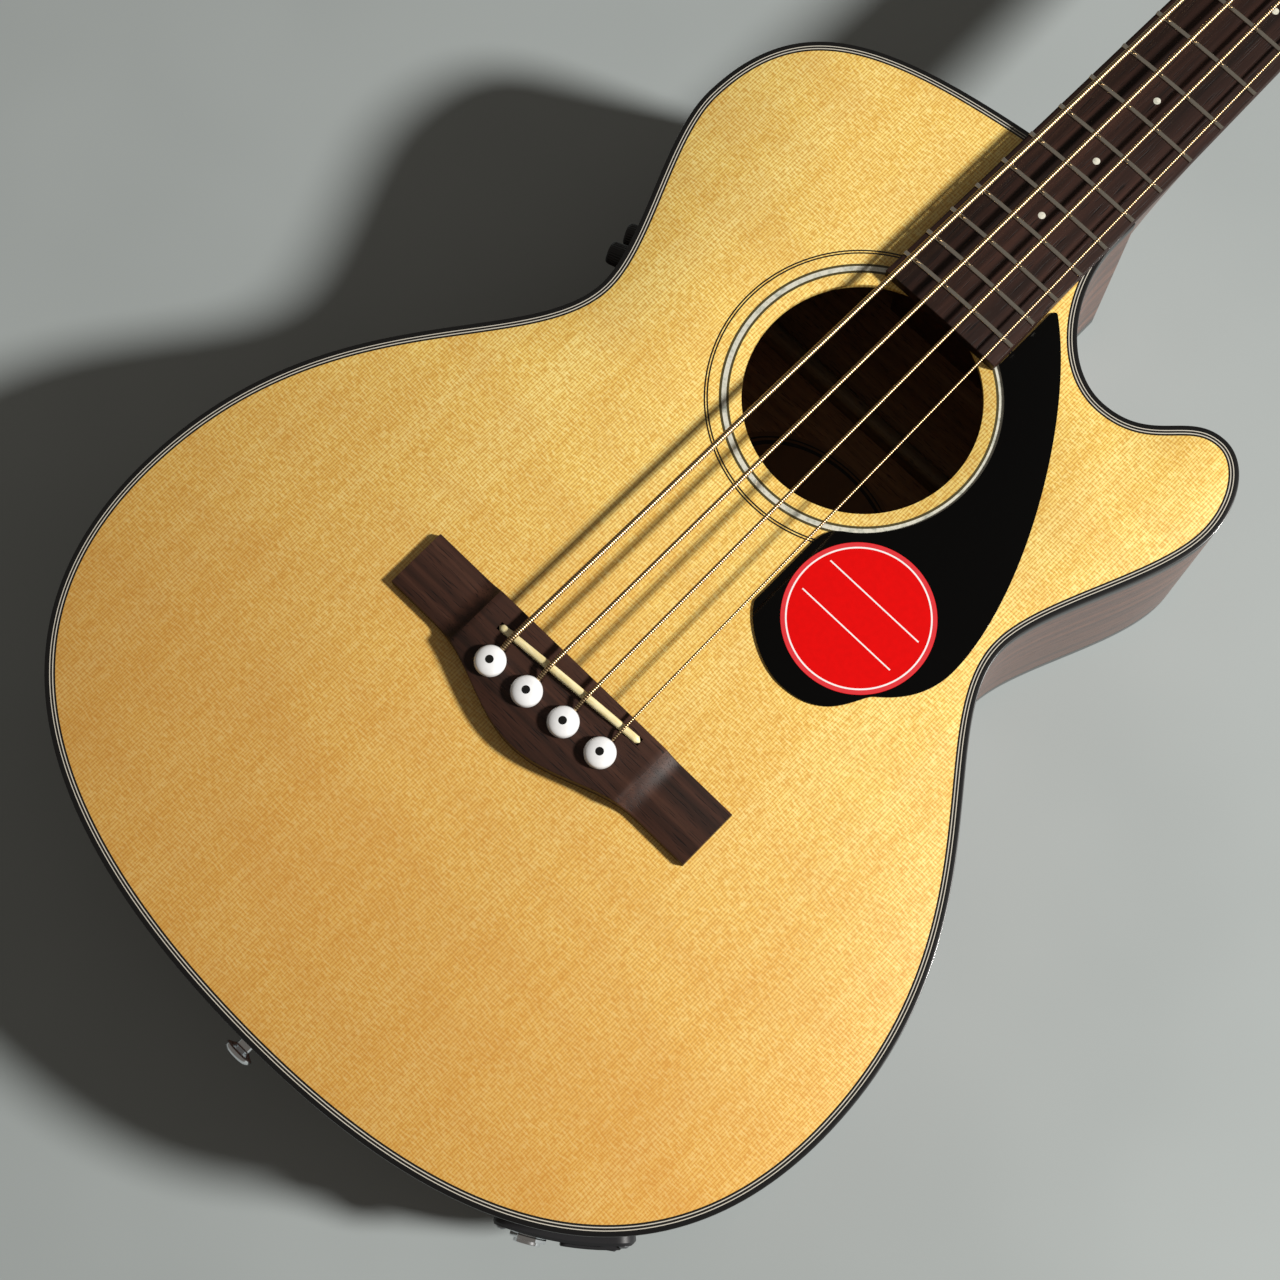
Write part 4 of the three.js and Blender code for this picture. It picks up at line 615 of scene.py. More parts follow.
def set_out_row(tree, inputs):
    """Copies of a piece on points, their own z turned along the points' attribute out."""
    points = add(tree, "GeometryNodeMeshToPoints", {"Mesh": inputs["Points"]})
    out = add(tree, "GeometryNodeInputNamedAttribute", {"Name": "out"}, data_type="FLOAT_VECTOR")
    turn = add(tree, "FunctionNodeAlignRotationToVector", {"Vector": out}, axis="Z")
    return copies(tree, points, inputs["Piece"], turn)


KERFS = growing_tree(
    "kerfed_lining", (("Path", "Geometry"), ("Step", "Float"), ("Block", "Object")), kerf_row
)
STRING_TREE = growing_tree(
    "string_along_route", (("Route", "Geometry"), ("Radius", "Float"), ("Sides", "Int")), string_tube
)
SET_OUT = growing_tree("set_out", (("Points", "Geometry"), ("Piece", "Object")), set_out_row)


def pattern_of(piece):
    """Moves a piece's mesh so that the guitar frame's origin becomes its own."""
    piece.data.transform(Matrix.Translation(-at(0, 0, 0)))
    return piece


def set_out(name, pattern, places, material, slot, body=ROOT, smooth=35):
    """Copies of pattern, drawn round the origin, at places of (where, outward direction)."""
    base = make_mesh(name + "_points", [where for where, _ in places], [])
    layer = base.data.attributes.new("out", "FLOAT_VECTOR", "POINT")
    for item, (_, out) in zip(layer.data, places):
        item.vector = out
    piece = grown(name, base, SET_OUT, Piece=pattern, Material=material)
    bpy.data.objects.remove(pattern)
    return dress(piece, None, body=body, slot=slot, smooth=smooth)


def screw_pattern(radius, height):
    """A domed screw head with a cross recess."""
    profile = [(AXIS, -1.5), (radius * 0.5, -1.5), (radius * 0.5, 0), (radius, 0)]
    for i in range(1, 7):
        a = i / 6 * QUARTER
        profile.append((max(radius * math.cos(a), AXIS), height * math.sin(a)))
    head = turned("screw", profile, 24)
    wide, long = radius * 0.14, radius * 0.62
    for turn in (0, QUARTER):
        slot_end = (long, wide, height * 3)
        cut(head, box_mesh("slot", (-long, -wide, height * 0.35), slot_end, rotation(turn, "Z")))
    return pattern_of(head)


# Body outline

LONG, SHORT = 56, 28
NECK_SEAT = 29.5
NECK_END = 307
TAIL_END = (0, -TAIL)


def lower_bends(long, short):
    """The outline from the tail to the upper bout, with the steps of its long and short bends."""
    return (
        ((133, -TAIL), (194, -139), (194, -53), long),
        ((194, 50), (113.5, 89), (113.5, 132), long),
        ((113.5, 157), (142.5, 198), (142.5, 226), short),
    )


TREBLE = traced(
    TAIL_END, *lower_bends(LONG, SHORT), ((142.5, 245), (132, 261), (119, 261), SHORT),
    ((100, 261), (99, 238), (73, 238), SHORT), ((50, 238), (NECK_SEAT, 267), (NECK_SEAT, 296), SHORT),
) + [(NECK_SEAT, NECK_END)]
UPPER_BASS = ((142.5, 282), (104.5, 297.3), (NECK_SEAT, NECK_END), LONG)
BASS = [(-x, y) for x, y in traced(TAIL_END, *lower_bends(LONG, SHORT), UPPER_BASS)]
OUTLINE = TREBLE + BASS[:0:-1]


def inset(points, distance):
    """Points moved inward by a distance."""
    out = []
    for i, (x, y) in enumerate(points):
        before = (Vector(points[i]) - Vector(points[i - 1])).normalized()
        after = (Vector(points[(i + 1) % len(points)]) - Vector(points[i])).normalized()
        middle = Vector((-before.y - after.y, before.x + after.x)).normalized()
        spread = middle.dot(Vector((-before.y, before.x)))
        out.append((x + middle.x * distance / spread, y + middle.y * distance / spread))
    return out


def band(name, profile, material, replaces=()):
    """A ring that follows the body's edge; its closed profile is (inset, height)."""
    lines = [[(x, y, z) for x, y in inset(OUTLINE, distance)] for distance, z in profile]
    rings = [list(ring) for ring in zip(*lines)]
    piece = skin(name, rings + rings[:1], capped=False)
    return dress(piece, material, slot="gloss_black", replaces=replaces, smooth=40)


# Soundboard, with a slightly eased edge round the soundhole
top_loops = [inset(OUTLINE, EDGE + 0.1), ring_points(HOLE_RADIUS, 128, HOLE)[::-1]]
soundboard = filled("soundboard_plate", top_loops, -TOP, 0)
rounded(soundboard, 0.35, 2, 50)
dress(soundboard, SPRUCE, slot="spruce_top", replaces=["soundboard_bass", "soundboard_treble"])

# Edge of the top: black outside, then white, black, white and a thin dark line
eased = [(0, -BINDING), (0, -0.5), (0.15, -0.15), (0.5, 0), (2.1, 0), (2.1, -BINDING)]
band("top_binding_black", eased, BLACK_BINDING, ["top_binding"])
for name, outer, inner, material in (
    ("top_line_white_outer", 2.1, 2.45, WHITE_LINE),
    ("top_line_black", 2.45, 3.3, BLACK_LINE),
    ("top_line_white_inner", 3.3, 3.7, WHITE_LINE),
    ("top_line_dark", 3.7, EDGE, BLACK_LINE),
):
    band(name, oblong(outer, inner, -LINE_DEPTH, 0), material)
band("back_binding_black", oblong(0, 2.8, GAP - DEPTH, BINDING - DEPTH), BLACK_BINDING, ["back_binding"])

# Back, lacquered outside and left raw inside
back = filled("back_plate", [inset(OUTLINE, 2.85)], -DEPTH, BACK - DEPTH)
dress(back, BACK_MAHOGANY, slot="mahogany", replaces=["back_panel"])
back.data.materials.append(RAW_BACK)
for side in back.data.polygons:
    side.material_index = 1 if side.normal.z > 0.5 else 0

# Sides


def lengths_along(points):
    total = [0.0]
    for a, b in zip(points, points[1:]):
        total.append(total[-1] + (Vector(b) - Vector(a)).length)
    return total


RIMS = {"bass": (BASS, lengths_along(BASS), 1), "treble": (TREBLE, lengths_along(TREBLE), -1)}


def rim_place(rim, distance):
    """Place on the rim and its outward direction, at a distance from the tail."""
    points, total, side = RIMS[rim]
    i = max(k for k in range(len(total) - 1) if total[k] <= max(distance, 0))
    share = (distance - total[i]) / (total[i + 1] - total[i])
    ends = (max(i - 1, 0), i, i + 1, min(i + 2, len(points) - 1))
    before, a, b, after = (Vector(points[k]) for k in ends)
    run = (b - before).normalized().lerp((after - a).normalized(), share).normalized()
    return a.lerp(b, share), Vector((-run.y, run.x)) * side


def off_rim(rim, distance, off, z):
    place, out = rim_place(rim, distance)
    return (*(place + out * off), z)


def rim_wall(rim, window):
    """The bent side, left open at its window (middle, from, to, low, high)."""
    total, side = RIMS[rim][1:]
    middle, start, end, low, high = window
    stations = sorted(total + [middle + start, middle + end])
    stations = [s for s, after in zip(stations, stations[1:] + [math.inf]) if after - s > 0.02]
    levels = sorted([WALL_LOW, WALL_HIGH, low, high])
    vertices = [off_rim(rim, s, -LIFT, z) for s in stations for z in levels]
    rows = len(levels)
    faces, uvs = [], []
    for i, (s, after) in enumerate(zip(stations, stations[1:])):
        for j, (z, above) in enumerate(zip(levels, levels[1:])):
            if start < (s + after) / 2 - middle < end and low < (z + above) / 2 < high:
                continue
            first, second = i * rows + j, (i + 1) * rows + j
            faces.append((first, second, second + 1, first + 1)[::-side])
            uvs.append([(s, z), (after, z), (after, above), (s, above)][::-side])
    wall = make_mesh(f"side_wall_{rim}", vertices, faces, uvs)
    modified(wall, "SOLIDIFY", thickness=(WALL - 0.05) * MM, offset=-1)
    return dress(wall, MAHOGANY, slot="mahogany", replaces=[f"side_{rim}"])


def rim_plate(name, rim, middle, length, depth, height, low, high, corner, edge):
    """A plate with rounded corners and eased edges that follows the rim."""
    columns = 40
    half = length / 2
    stops = [-half * math.cos(math.pi * i / columns) for i in range(columns + 1)]

    def ring(s, top):
        near = max(abs(s) - (half - corner), 0)
        reach = height / 2 - (corner - math.sqrt(max(corner**2 - near**2, 0)))
        ease = min(edge, reach * 0.9)
        profile = [(low, -reach), (low, reach), (top - ease, reach), (top, reach - ease), (top, ease - reach)]
        profile.append((top - ease, -reach))
        return [off_rim(rim, middle + s, off, z - depth) for off, z in profile]

    inner = [ring(max(min(s, half - edge), edge - half), high) for s in stops]
    return skin(name, [ring(-half, high - edge), *inner, ring(half, high - edge)])


WAIST = (-113.5, 132)
UPPER_BOUT = 46  # waist to the preamp's middle, along the rim
PREAMP = RIMS["bass"][1][RIMS["bass"][0].index(WAIST)] + UPPER_BOUT
PREAMP_DEPTH = 38
PREAMP_CASE = (28, 17)  # half its length and half its height
JACK = 152
JACK_DEPTH = 56
JACK_WINDOW = (-19.9, 23.7, 16.3)  # from the jack's bore to the drawer's case, and half its height
long, tall = (half + GAP for half in PREAMP_CASE)
rim_wall("bass", (PREAMP, -long, long, -tall - PREAMP_DEPTH, tall - PREAMP_DEPTH))
start, end, tall = JACK_WINDOW
rim_wall("treble", (JACK, start, end, -tall - JACK_DEPTH, tall - JACK_DEPTH))

# The flat end of the sides behind the heel, open for the neck's tenon
seat_side, tenon_side, tenon_low = NECK_SEAT - 0.2, 13.3, -82.3
seat_edge = [
    (-seat_side, WALL_LOW), (seat_side, WALL_LOW), (seat_side, WALL_HIGH), (tenon_side, WALL_HIGH),
    (tenon_side, tenon_low), (-tenon_side, tenon_low), (-tenon_side, WALL_HIGH), (-seat_side, WALL_HIGH),
]
upright = Matrix(((1, 0, 0, 0), (0, 0, 1, 0), (0, 1, 0, 0), (0, 0, 0, 1)))
seat = filled("side_wall_at_neck", [seat_edge], NECK_END - WALL, NECK_END - LIFT, upright)
dress(seat, BACK_MAHOGANY, slot="mahogany")

# Kerfed linings: small blocks in a row round the inside of the sides


def lining(name, rim, down, z, replaces):
    """One side's lining, from the tail block to the neck block."""
    points, total, _ = RIMS[rim]
    first, last = 37.0, total[-1] - 45.0
    if rim == "treble":
        last = next(s for s, p in zip(total, points) if p[1] > 236 and p[0] < 60)
    steps = 150
    stations = [first + (last - first) * i / steps for i in range(steps + 1)]
    base = polyline(name + "_path", [[off_rim(rim, s, -(WALL + GAP), z) for s in stations]])
    length, wide, tall, step = 5.2, 5.8, 13.6, 6.2
    inwards = -1 if rim == "bass" else 1
    # a block with its inner lower corner planed away; its long side runs along x
    outline = [(0, 0), (wide, 0), (wide, down * tall * 0.35), (0.8, down * tall), (0, down * tall)]
    rings = [[(x, y * inwards, h) for y, h in outline] for x in (-length / 2, length / 2)]
    block = pattern_of(skin("kerf", rings))
    piece = grown(name, base, KERFS, Step=step * MM, Block=block, Material=BARE_SPRUCE)
    bpy.data.objects.remove(block)
    return dress(piece, BARE_SPRUCE, slot="brace_spruce", replaces=replaces, smooth=20)


for rim in ("bass", "treble"):
    lining(f"top_kerfs_{rim}", rim, -1, -TOP - GAP, [f"top_lining_{rim}"])
    lining(f"back_kerfs_{rim}", rim, 1, BACK - DEPTH + GAP, [f"back_lining_{rim}"])

# Braces and blocks inside

for material, names in (
    (BARE_SPRUCE, ("x_brace_long", "x_brace_notched", "transverse_brace", "tone_bar")),
    (NECK_MAHOGANY, ("neck_block", "tail_block", "bridge_plate")),
    (STEEL, ("truss_rod",)),
):
    for name in names:
        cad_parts[name].data.materials.clear()
        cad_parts[name].data.materials.append(material)


def back_brace(name):
    """A brace across the back, its upper edges planed round and its ends tapered down."""
    low, high = (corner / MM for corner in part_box(name))
    middle, half = (low.y + high.y) / 2 - SADDLE_LINE, (high.y - low.y) / 2
    foot, crown = low.z - FACE, high.z - FACE
    shoulder, taper_length, steps = half * 0.8, 30, 24
    rings = []
    for i in range(steps + 1):
        x = low.x + (high.x - low.x) * i / steps
        taper = min((x - low.x) / taper_length, (high.x - x) / taper_length, 1)
        spring = foot + (crown - foot) * (0.3 + 0.7 * taper) - shoulder
        rounding = [(x, middle + half * math.cos(a), spring + shoulder * math.sin(a)) for a in HALF_ROUND]
        rings.append([(x, middle - half, foot), (x, middle + half, foot), *rounding])
    dress(skin(name + "_planed", rings), BRACE_WOOD, slot="brace_spruce", replaces=[name], smooth=50)


for name in ("back_brace_1", "back_brace_2", "back_brace_3"):
    back_brace(name)

# Rosette, pickguard with its sticker, label

INLAY = 0.04  # how far an inlay stands over the lacquer


def flat_ring(name, outer, inner, bottom, top, material, centre=HOLE, slot="pearl", replaces=()):
    piece = hollow(name, oblong(outer, inner, bottom, top), 160, shift(*centre, 0))
    return dress(piece, material, slot=slot, replaces=replaces)


for name, outer, inner, depth, material, replaces in (
    ("rosette_dark_inner", 56.4, 55.35, 1.2, OLIVE_LINE, ()),
    ("rosette_pearl", 58.4, 56.4, 1.2, PEARL, ["rosette"]),
    ("rosette_dark_outer", 59.45, 58.4, 1.2, OLIVE_LINE, ()),
    ("rosette_line_inner", 64.6, 63.95, 0.5, BLACK_LINE, ()),
    ("rosette_line_outer", 65.75, 65.1, 0.5, BLACK_LINE, ()),
):
    flat_ring(name, outer, inner, -depth, INLAY, material, replaces=replaces)

GUARD_TOP = 0.9
GUARD_RING = 58.4
PRINT = GUARD_TOP + 0.05
PRINT_TOP = PRINT + 0.08
STICKER = (63.3, 100.9)
STICKER_RADIUS = 31.7
RULES = (((38.6, 110.4), (87.4, 110.3)), ((38.5, 94.0), (87.0, 93.9)))


def pickguard_outline():
    tip, corner, widest, toe, inner = (33.5, 253.5), (31, 251), (105.7, 112), (59.4, 59), (28, 77)
    dip, lobe = (90.2, 81.8), (87.3, 77.8)
    edge = traced(
        inner, ((32, 69), (47.4, 59), toe, 16), ((77.4, 59), (82.3, 68), lobe, 24),
        ((88.1, 79.4), (89, 80.9), dip, 6), ((95.2, 86), (105.7, 95), widest, 24),
        ((105.7, 156), (67.5, 225.5), tip, 40), ((32.6, 254.3), (31, 253), corner, 6),
    )
    # along the rosette, then round a small corner to the straight edge under the strings
    first, last = math.acos(corner[0] / GUARD_RING), -math.acos(36 / GUARD_RING)
    for i in range(41):
        a = first + (last - first) * i / 40
        edge.append((GUARD_RING * math.cos(a), HOLE[1] + GUARD_RING * math.sin(a)))
    return edge + traced(edge[-1], ((31.5, 121.7), (28, 118.5), (28, 110), 10))[1:]


guard = rounded(filled("pickguard_sheet", [pickguard_outline()], LIFT, GUARD_TOP), 0.3, 3, 60)
dress(guard, GUARD_BLACK, slot="gloss_black", replaces=["pickguard"], smooth=50)
sticker = filled("sticker_disc", [ring_points(STICKER_RADIUS, 96, STICKER)], GUARD_TOP, GUARD_TOP + 0.1)
dress(sticker, STICKER_RED, slot="gloss_black")
for name, outer, inner, material in (
    ("sticker_ring", 1.9, 2.6, STICKER_WHITE), ("sticker_edge", 0.1, 1.8, STICKER_RIM),
):
    radii = (STICKER_RADIUS - outer, STICKER_RADIUS - inner)
    flat_ring(name, *radii, PRINT, PRINT_TOP, material, STICKER, "gloss_black")
# two plain rules across the sticker, each from one end to the other
for number, (start, end) in enumerate(RULES, 1):
    run = Vector(end) - Vector(start)
    lie = shift(*start, 0) @ rotation(math.atan2(run.y, run.x), "Z")
    edge = [(0, -0.3), (run.length, -0.3), (run.length, 0.3), (0, 0.3)]
    rule = filled(f"sticker_rule_{number}", [edge], PRINT, PRINT_TOP, lie)
    dress(rule, STICKER_WHITE, slot="gloss_black")


def bare_label():
    """A bare oval of paper on the inside of the back; u runs from its middle to its edge."""
    steps, shares = 96, (0.5, 0.84, 1)
    centre_y, half_long, half_wide, floor_z = 140, 52, 36, BACK - DEPTH + 0.05
    vertices, faces, uvs = [(0, centre_y, floor_z)], [], []
    for share in shares:
        for x, y in ring_points(share, steps):
            vertices.append((half_long * x, centre_y + half_wide * y, floor_z))
    for i in range(steps):
        j = (i + 1) % steps
        faces.append((0, 1 + i, 1 + j))
        uvs.append([(0, 0), (PER_MM / 2, 0), (PER_MM / 2, 0)])
        for level in (0, 1):
            a, b = 1 + level * steps, 1 + (level + 1) * steps
            u0, u1 = shares[level] * PER_MM, shares[level + 1] * PER_MM
            faces.append((a + i, b + i, b + j, a + j))
            uvs.append([(u0, 0), (u1, 0), (u1, 0), (u0, 0)])
    label = make_mesh("label", vertices, faces, uvs)
    modified(label, "SOLIDIFY", thickness=0.15 * MM, offset=1)
    dress(label, INSIDE_LABEL, slot="mahogany")


bare_label()

# Bridge, saddle and pins

SCALE = 812.8
CROWN = 300  # radius across the fingerboard and the saddle
CROWN_TOP = 11.6
BELLY = 8.3
WING = 3.9
SADDLE_HALF = 1.6
SADDLE_SLANT = math.radians(4.2)
SADDLE_PLACE = shift(0, -0.6, 0) @ rotation(SADDLE_SLANT, "Z")
PIN_REACH = 18  # how far a pin goes down
STRING_HOLE = 2.6  # pin to the middle of its string
NUT_FRONT = SCALE + GAP
NUT_THICK = 5
NUT_SLOTS = 8.1


def crown_drop(x):
    return CROWN - math.sqrt(CROWN * CROWN - x * x)


def bass_string(number, letter, diameter):
    """One string's sizes and places, numbered from the thickest."""
    step = number - 1.5
    x, nut_x, radius = step * 19.2, step * 11.2, diameter / 2
    saddle_y = -0.6 + x * math.tan(SADDLE_SLANT)
    return SimpleNamespace(
        name=letter, radius=radius, x=x, saddle_y=saddle_y, pin_y=saddle_y - 13.6, nut_x=nut_x,
        saddle_z=CROWN_TOP - crown_drop(x) + GAP + radius,
        nut_z=NUT_SLOTS - crown_drop(nut_x) + 0.4 + GAP + radius,
        side=1 if step > 0 else -1, post_u=52 if abs(step) > 1 else 128,
    )


DIAMETERS = (2.54, 2.03, 1.65, 1.14)
STRINGS = [bass_string(i, letter, d) for i, (letter, d) in enumerate(zip("eadg", DIAMETERS))]


def bridge_block():
    half, belly_half, front, rear, belly_rear, ease = 82.5, 58, 7.5, 20.5, 34.5, 0.9
    stations = {round(-half + 2 * half * i / 120, 3) for i in range(121)} | {-half + 0.3, half - 0.3}
    rings = []
    for x in sorted(stations):
        across = min(abs(x) / belly_half, 1)
        rear_edge = -(rear + (belly_rear - rear) * (1 + math.cos(math.pi * across)) / 2)
        fall = min(max((abs(x) - 46.5) / 9, 0), 1)
        fall = fall * (2 - fall)
        height = BELLY + (WING - BELLY) * fall
        shoulder, low = height - 0.3 * ease, height - ease
        profile = [
            (front, LIFT), (front, low), (front - 0.3 * ease, shoulder), (front - ease, height),
            ((front + rear_edge) / 2, height + 0.12 * (1 - fall)), (rear_edge + ease, height),
            (rear_edge + 0.3 * ease, shoulder), (rear_edge, low), (rear_edge, LIFT),
        ]
        rings.append([(x, y, z) for y, z in profile])
    cutters = [box_mesh("slot", (-37.2, -1.75, 4.2), (37.2, 1.75, 30), SADDLE_PLACE)]
    for string in STRINGS:
        low, top, start, end = BELLY - 3.4, BELLY + 6, string.pin_y, string.pin_y + 8.4
        ramp = [(start, low), (end, BELLY + 0.2), (end, top), (start, top)]
        sides = [string.x + side * (string.radius + GAP) for side in (-1, 1)]
        cutters.append(skin("ramp", [[(x, y, z) for y, z in ramp] for x in sides]))
        hole = shift(string.x, string.pin_y, -1)
        cutters.append(turned("pin_hole", [(4.25, 0), (4.25, 20)], 32, hole))
    block = cut(skin("bridge_block", rings), *cutters)
    dress(block, BRIDGE_WOOD, slot="rosewood", replaces=["bridge"], smooth=28)


def saddle_bar():
    half, foot, steps = 37, 4.9, 48
    rings = []
    for i in range(steps + 1):
        x = -half + 2 * half * i / steps
        near = min(half - abs(x), SADDLE_HALF)
        wide = math.sqrt(max(SADDLE_HALF**2 - (SADDLE_HALF - near) ** 2, 0.04))
        top = CROWN_TOP - crown_drop(x) - 1.4 * (1 - wide / SADDLE_HALF) - wide * 0.7
        rounding = [(wide * math.cos(a), top + wide * 0.7 * math.sin(a)) for a in HALF_ROUND]
        profile = [(wide, foot), *rounding, (-wide, foot)]
        rings.append([tuple(SADDLE_PLACE @ Vector((x, y, z))) for y, z in profile])
    dress(skin("saddle_bar", rings), BONE, slot="bone", replaces=["saddle"], smooth=50)


def bridge_pin(string):
    """A pin with its dark dot and the groove for its string."""
    seat = BELLY + GAP
    place = shift(string.x, string.pin_y, 0)
    profile = [
        (AXIS, seat - PIN_REACH), (2.9, seat - PIN_REACH), (3.3, seat - 17.6), (3.9, seat - 0.2),
        (5.6, seat - 0.2), (6.2, seat + 0.15), (6.55, seat + 0.9), (6.6, seat + 1.7), (6.35, seat + 2.6),
    ]
    for k in range(1, 9):
        a = k / 8 * QUARTER
        profile.append((max(6.35 * math.cos(a), AXIS), seat + 2.6 + 2.4 * math.sin(a)))
    wide = string.radius + 0.25
    rise = shift(string.x, string.pin_y + STRING_HOLE, 0)
    low, high = (-wide, -wide, seat - 20), (wide, 5.5, seat + 0.6 + string.radius)
    pin = cut(turned(f"pin_{string.name}", profile, 48, place), box_mesh("groove", low, high, rise))
    dress(pin, PIN_WHITE, slot="white_plastic", replaces=[f"bridge_pin_{string.name}"], smooth=40)
    dome = [(AXIS, 4.6), (1.75, 4.6), (1.75, 4.9), (1.2, 5.03), (AXIS, 5.06)]
    dot = turned(f"pin_dot_{string.name}", [(r, seat + h) for r, h in dome], 32, place)
    dress(dot, PIN_BLACK, slot="white_plastic")


bridge_block()
saddle_bar()
for string in STRINGS:
    bridge_pin(string)

# Strings, laid along their route by a geometry tree

HEAD_ROOT = 818.4
HEAD_TILT = math.radians(13)
HEAD = shift(0, HEAD_ROOT, 1) @ rotation(-HEAD_TILT, "X")
POST_X = 23
POST_RADIUS = 4.75
WINDING_TOP = 10
WINDINGS = 2


def string_route(string):
    """From the pin hole over saddle and nut, then round its post."""
    radius, side, bend = string.radius, string.side, 2.4
    hole = string.pin_y + STRING_HOLE
    climb = math.atan((string.saddle_z - BELLY) / (string.saddle_y - SADDLE_HALF - hole))
    drop = bend * math.tan((QUARTER - climb) / 2)
    route = [(string.x, hole, BELLY + GAP - PIN_REACH)]
    for i in range(15):
        angle = i / 14 * (QUARTER - climb)
        y, z = hole + bend * (1 - math.cos(angle)), BELLY - drop + bend * math.sin(angle)
        route.append((string.x, y, z))
    route += [(string.x, string.saddle_y + reach, string.saddle_z) for reach in (-SADDLE_HALF, SADDLE_HALF)]
    route += [(string.nut_x, y, string.nut_z) for y in (NUT_FRONT, NUT_FRONT + NUT_THICK)]
    ring = POST_RADIUS + GAP + radius
    pitch = 2 * radius + 0.55
    start = HEAD.inverted() @ Vector(route[-1])
    run = Vector((side * POST_X - string.nut_x, string.post_u - start.y))
    first = math.atan2(run.y, run.x) + side * math.asin(ring / run.length) + side * QUARTER
    post = HEAD @ shift(side * POST_X, string.post_u, WINDING_TOP)
    steps = 60
    for i in range(WINDINGS * steps + 1):
        turn = i / steps
        route.append(polar(post, ring, first - side * turn * TURN, -pitch * turn))
    end = first - side * QUARTER
    tuck = post @ shift(ring * math.cos(first), ring * math.sin(first), -pitch * WINDINGS)
    return route + [polar(tuck, 2 * radius, end, 0)]


for string in STRINGS:
    base = polyline("route", [string_route(string)])
    thickness = {"Radius": string.radius * MM, "Sides": 16}
    wound = grown(f"wound_string_{string.name}", base, STRING_TREE, **thickness, Material=BRONZE)
    dress(wound, None, slot="bronze_strings", replaces=[f"string_{string.name}"], smooth=60)
    profile = rounded_profile([(0.5, -5), (2.9, -5), (2.9, 0), (0.5, 0)], 0.8)
    place = shift(string.x, string.pin_y + STRING_HOLE, BELLY + GAP - PIN_REACH - 0.6)
    dress(turned(f"string_ball_{string.name}", profile, 24, place), CHROME, slot="bronze_strings")

# Fingerboard, frets, dots and nut

BOARD_END = 216.5
BOARD_TOP = 7
BOARD_EDGE = 0.3
FRET = 1.15
FRET_RISE = 1.1


def board_half(y):
    wide_end, nut_end = 61, 41.3
    return (wide_end + (nut_end - wide_end) * (y - BOARD_END) / (SCALE - BOARD_END)) / 2


def fret_y(number):
    return SCALE * 2 ** (-number / 12)


def crowned_ring(y, half, side_top, inner, top, count, corner_drop=0.0):
    """A cross-section with a flat foot, low sides and a crowned top of count corners."""
    crown = []
    for i in range(count):
        x = inner * (1 - 2 * i / (count - 1))
        crown.append((x, y, top - crown_drop(x) - (corner_drop if i in (0, count - 1) else 0)))
    side_z = side_top - crown_drop(half)
    return [(-half, y, LIFT), (half, y, LIFT), (half, y, side_z), *crown, (-half, y, side_z)]


rings, board_stations = [], [BOARD_END, BOARD_END + BOARD_EDGE]
board_stations += [BOARD_END + (SCALE - BOARD_END) * i / 40 for i in range(1, 41)]
for y in board_stations:
    ease = BOARD_EDGE if y == BOARD_END else 0
    half, top = board_half(y) - ease, BOARD_TOP - ease
    rings.append(crowned_ring(y, half, top - 0.5, half - 0.175, top, 15, 0.075))
dress(skin("fingerboard_wood", rings), BOARD_WOOD, slot="rosewood", replaces=["fingerboard"], smooth=30)

lines = []
for number in range(1, 23):
    y = fret_y(number)
    across = [(board_half(y) - 0.15) * (i / 8 - 1) for i in range(17)]
    lines.append([(x, y, BOARD_TOP + FRET_RISE - FRET - crown_drop(x)) for x in across])
fret_wire = {"Radius": FRET * MM, "Sides": 20, "Material": NICKEL}
frets = grown("frets", polyline("fret_lines", lines), STRING_TREE, **fret_wire)
dress(frets, None, slot="rosewood", smooth=60)

face_dots, side_dots = [], []
for number in (3, 5, 7, 9, 12, 15, 17, 19):
    y = (fret_y(number) + fret_y(number - 1)) / 2
    for x in (-8.5, 8.5) if number == 12 else (0,):
        face_dots.append(((x, y, BOARD_TOP - crown_drop(x)), (0, 0, 1)))
    for along in (y - 3, y + 3) if number == 12 else (y,):
        side_dots.append(((-board_half(along), along, 3.6), (-1, 0, 0)))
dot = pattern_of(turned("dot", [(AXIS, -0.8), (1.6, -0.8), (1.6, 0), (1.5, 0.04), (AXIS, 0.05)], 28))
set_out("board_dots", dot, face_dots, PEARL, "pearl")
dot = pattern_of(turned("side_dot", [(AXIS, -0.8), (1, -0.8), (1, 0.02), (AXIS, 0.05)], 20))
set_out("side_dots", dot, side_dots, PEARL, "pearl")

nut_top = NUT_SLOTS + 0.4 + GAP + 1.27
rings = []
for along, ease in ((0, 0.5), (0.4, 0), (3, 0.15), (NUT_THICK, 1.6)):
    top = nut_top - ease
    rings.append(crowned_ring(NUT_FRONT + along, 20.65, top - 0.8, 20.2, top, 13))
nut = skin("nut_bone_bar", rings)
for string in STRINGS:
    wide = string.radius + 0.12
    low = (string.nut_x - wide, NUT_FRONT - 3, string.nut_z - string.radius)
    cut(nut, box_mesh("groove", low, (string.nut_x + wide, NUT_FRONT + 9, 30)))
dress(nut, NUT_BONE, slot="bone", replaces=["nut"], smooth=30)

# Neck, heel and headstock

HEAD_THICK = 14
OVERLAY = 1
HEEL_LENGTH = 78
NECK_DEPTH, HEEL_DEPTH = 17, 104
POCKET_START, POCKET_HALF = HEAD_ROOT + 6.7, 5.25


def head_outline():
    root, shoulder, top, steps = 21, 39, 33, 24
    right = traced((root, 0), ((root, 17), (shoulder, 17), (shoulder, 34), steps))
    right += traced((top, 170), ((top, 186), (top / 2, 186), (0, 186), steps))
    return right + [(-x, y) for x, y in right[-2::-1]]


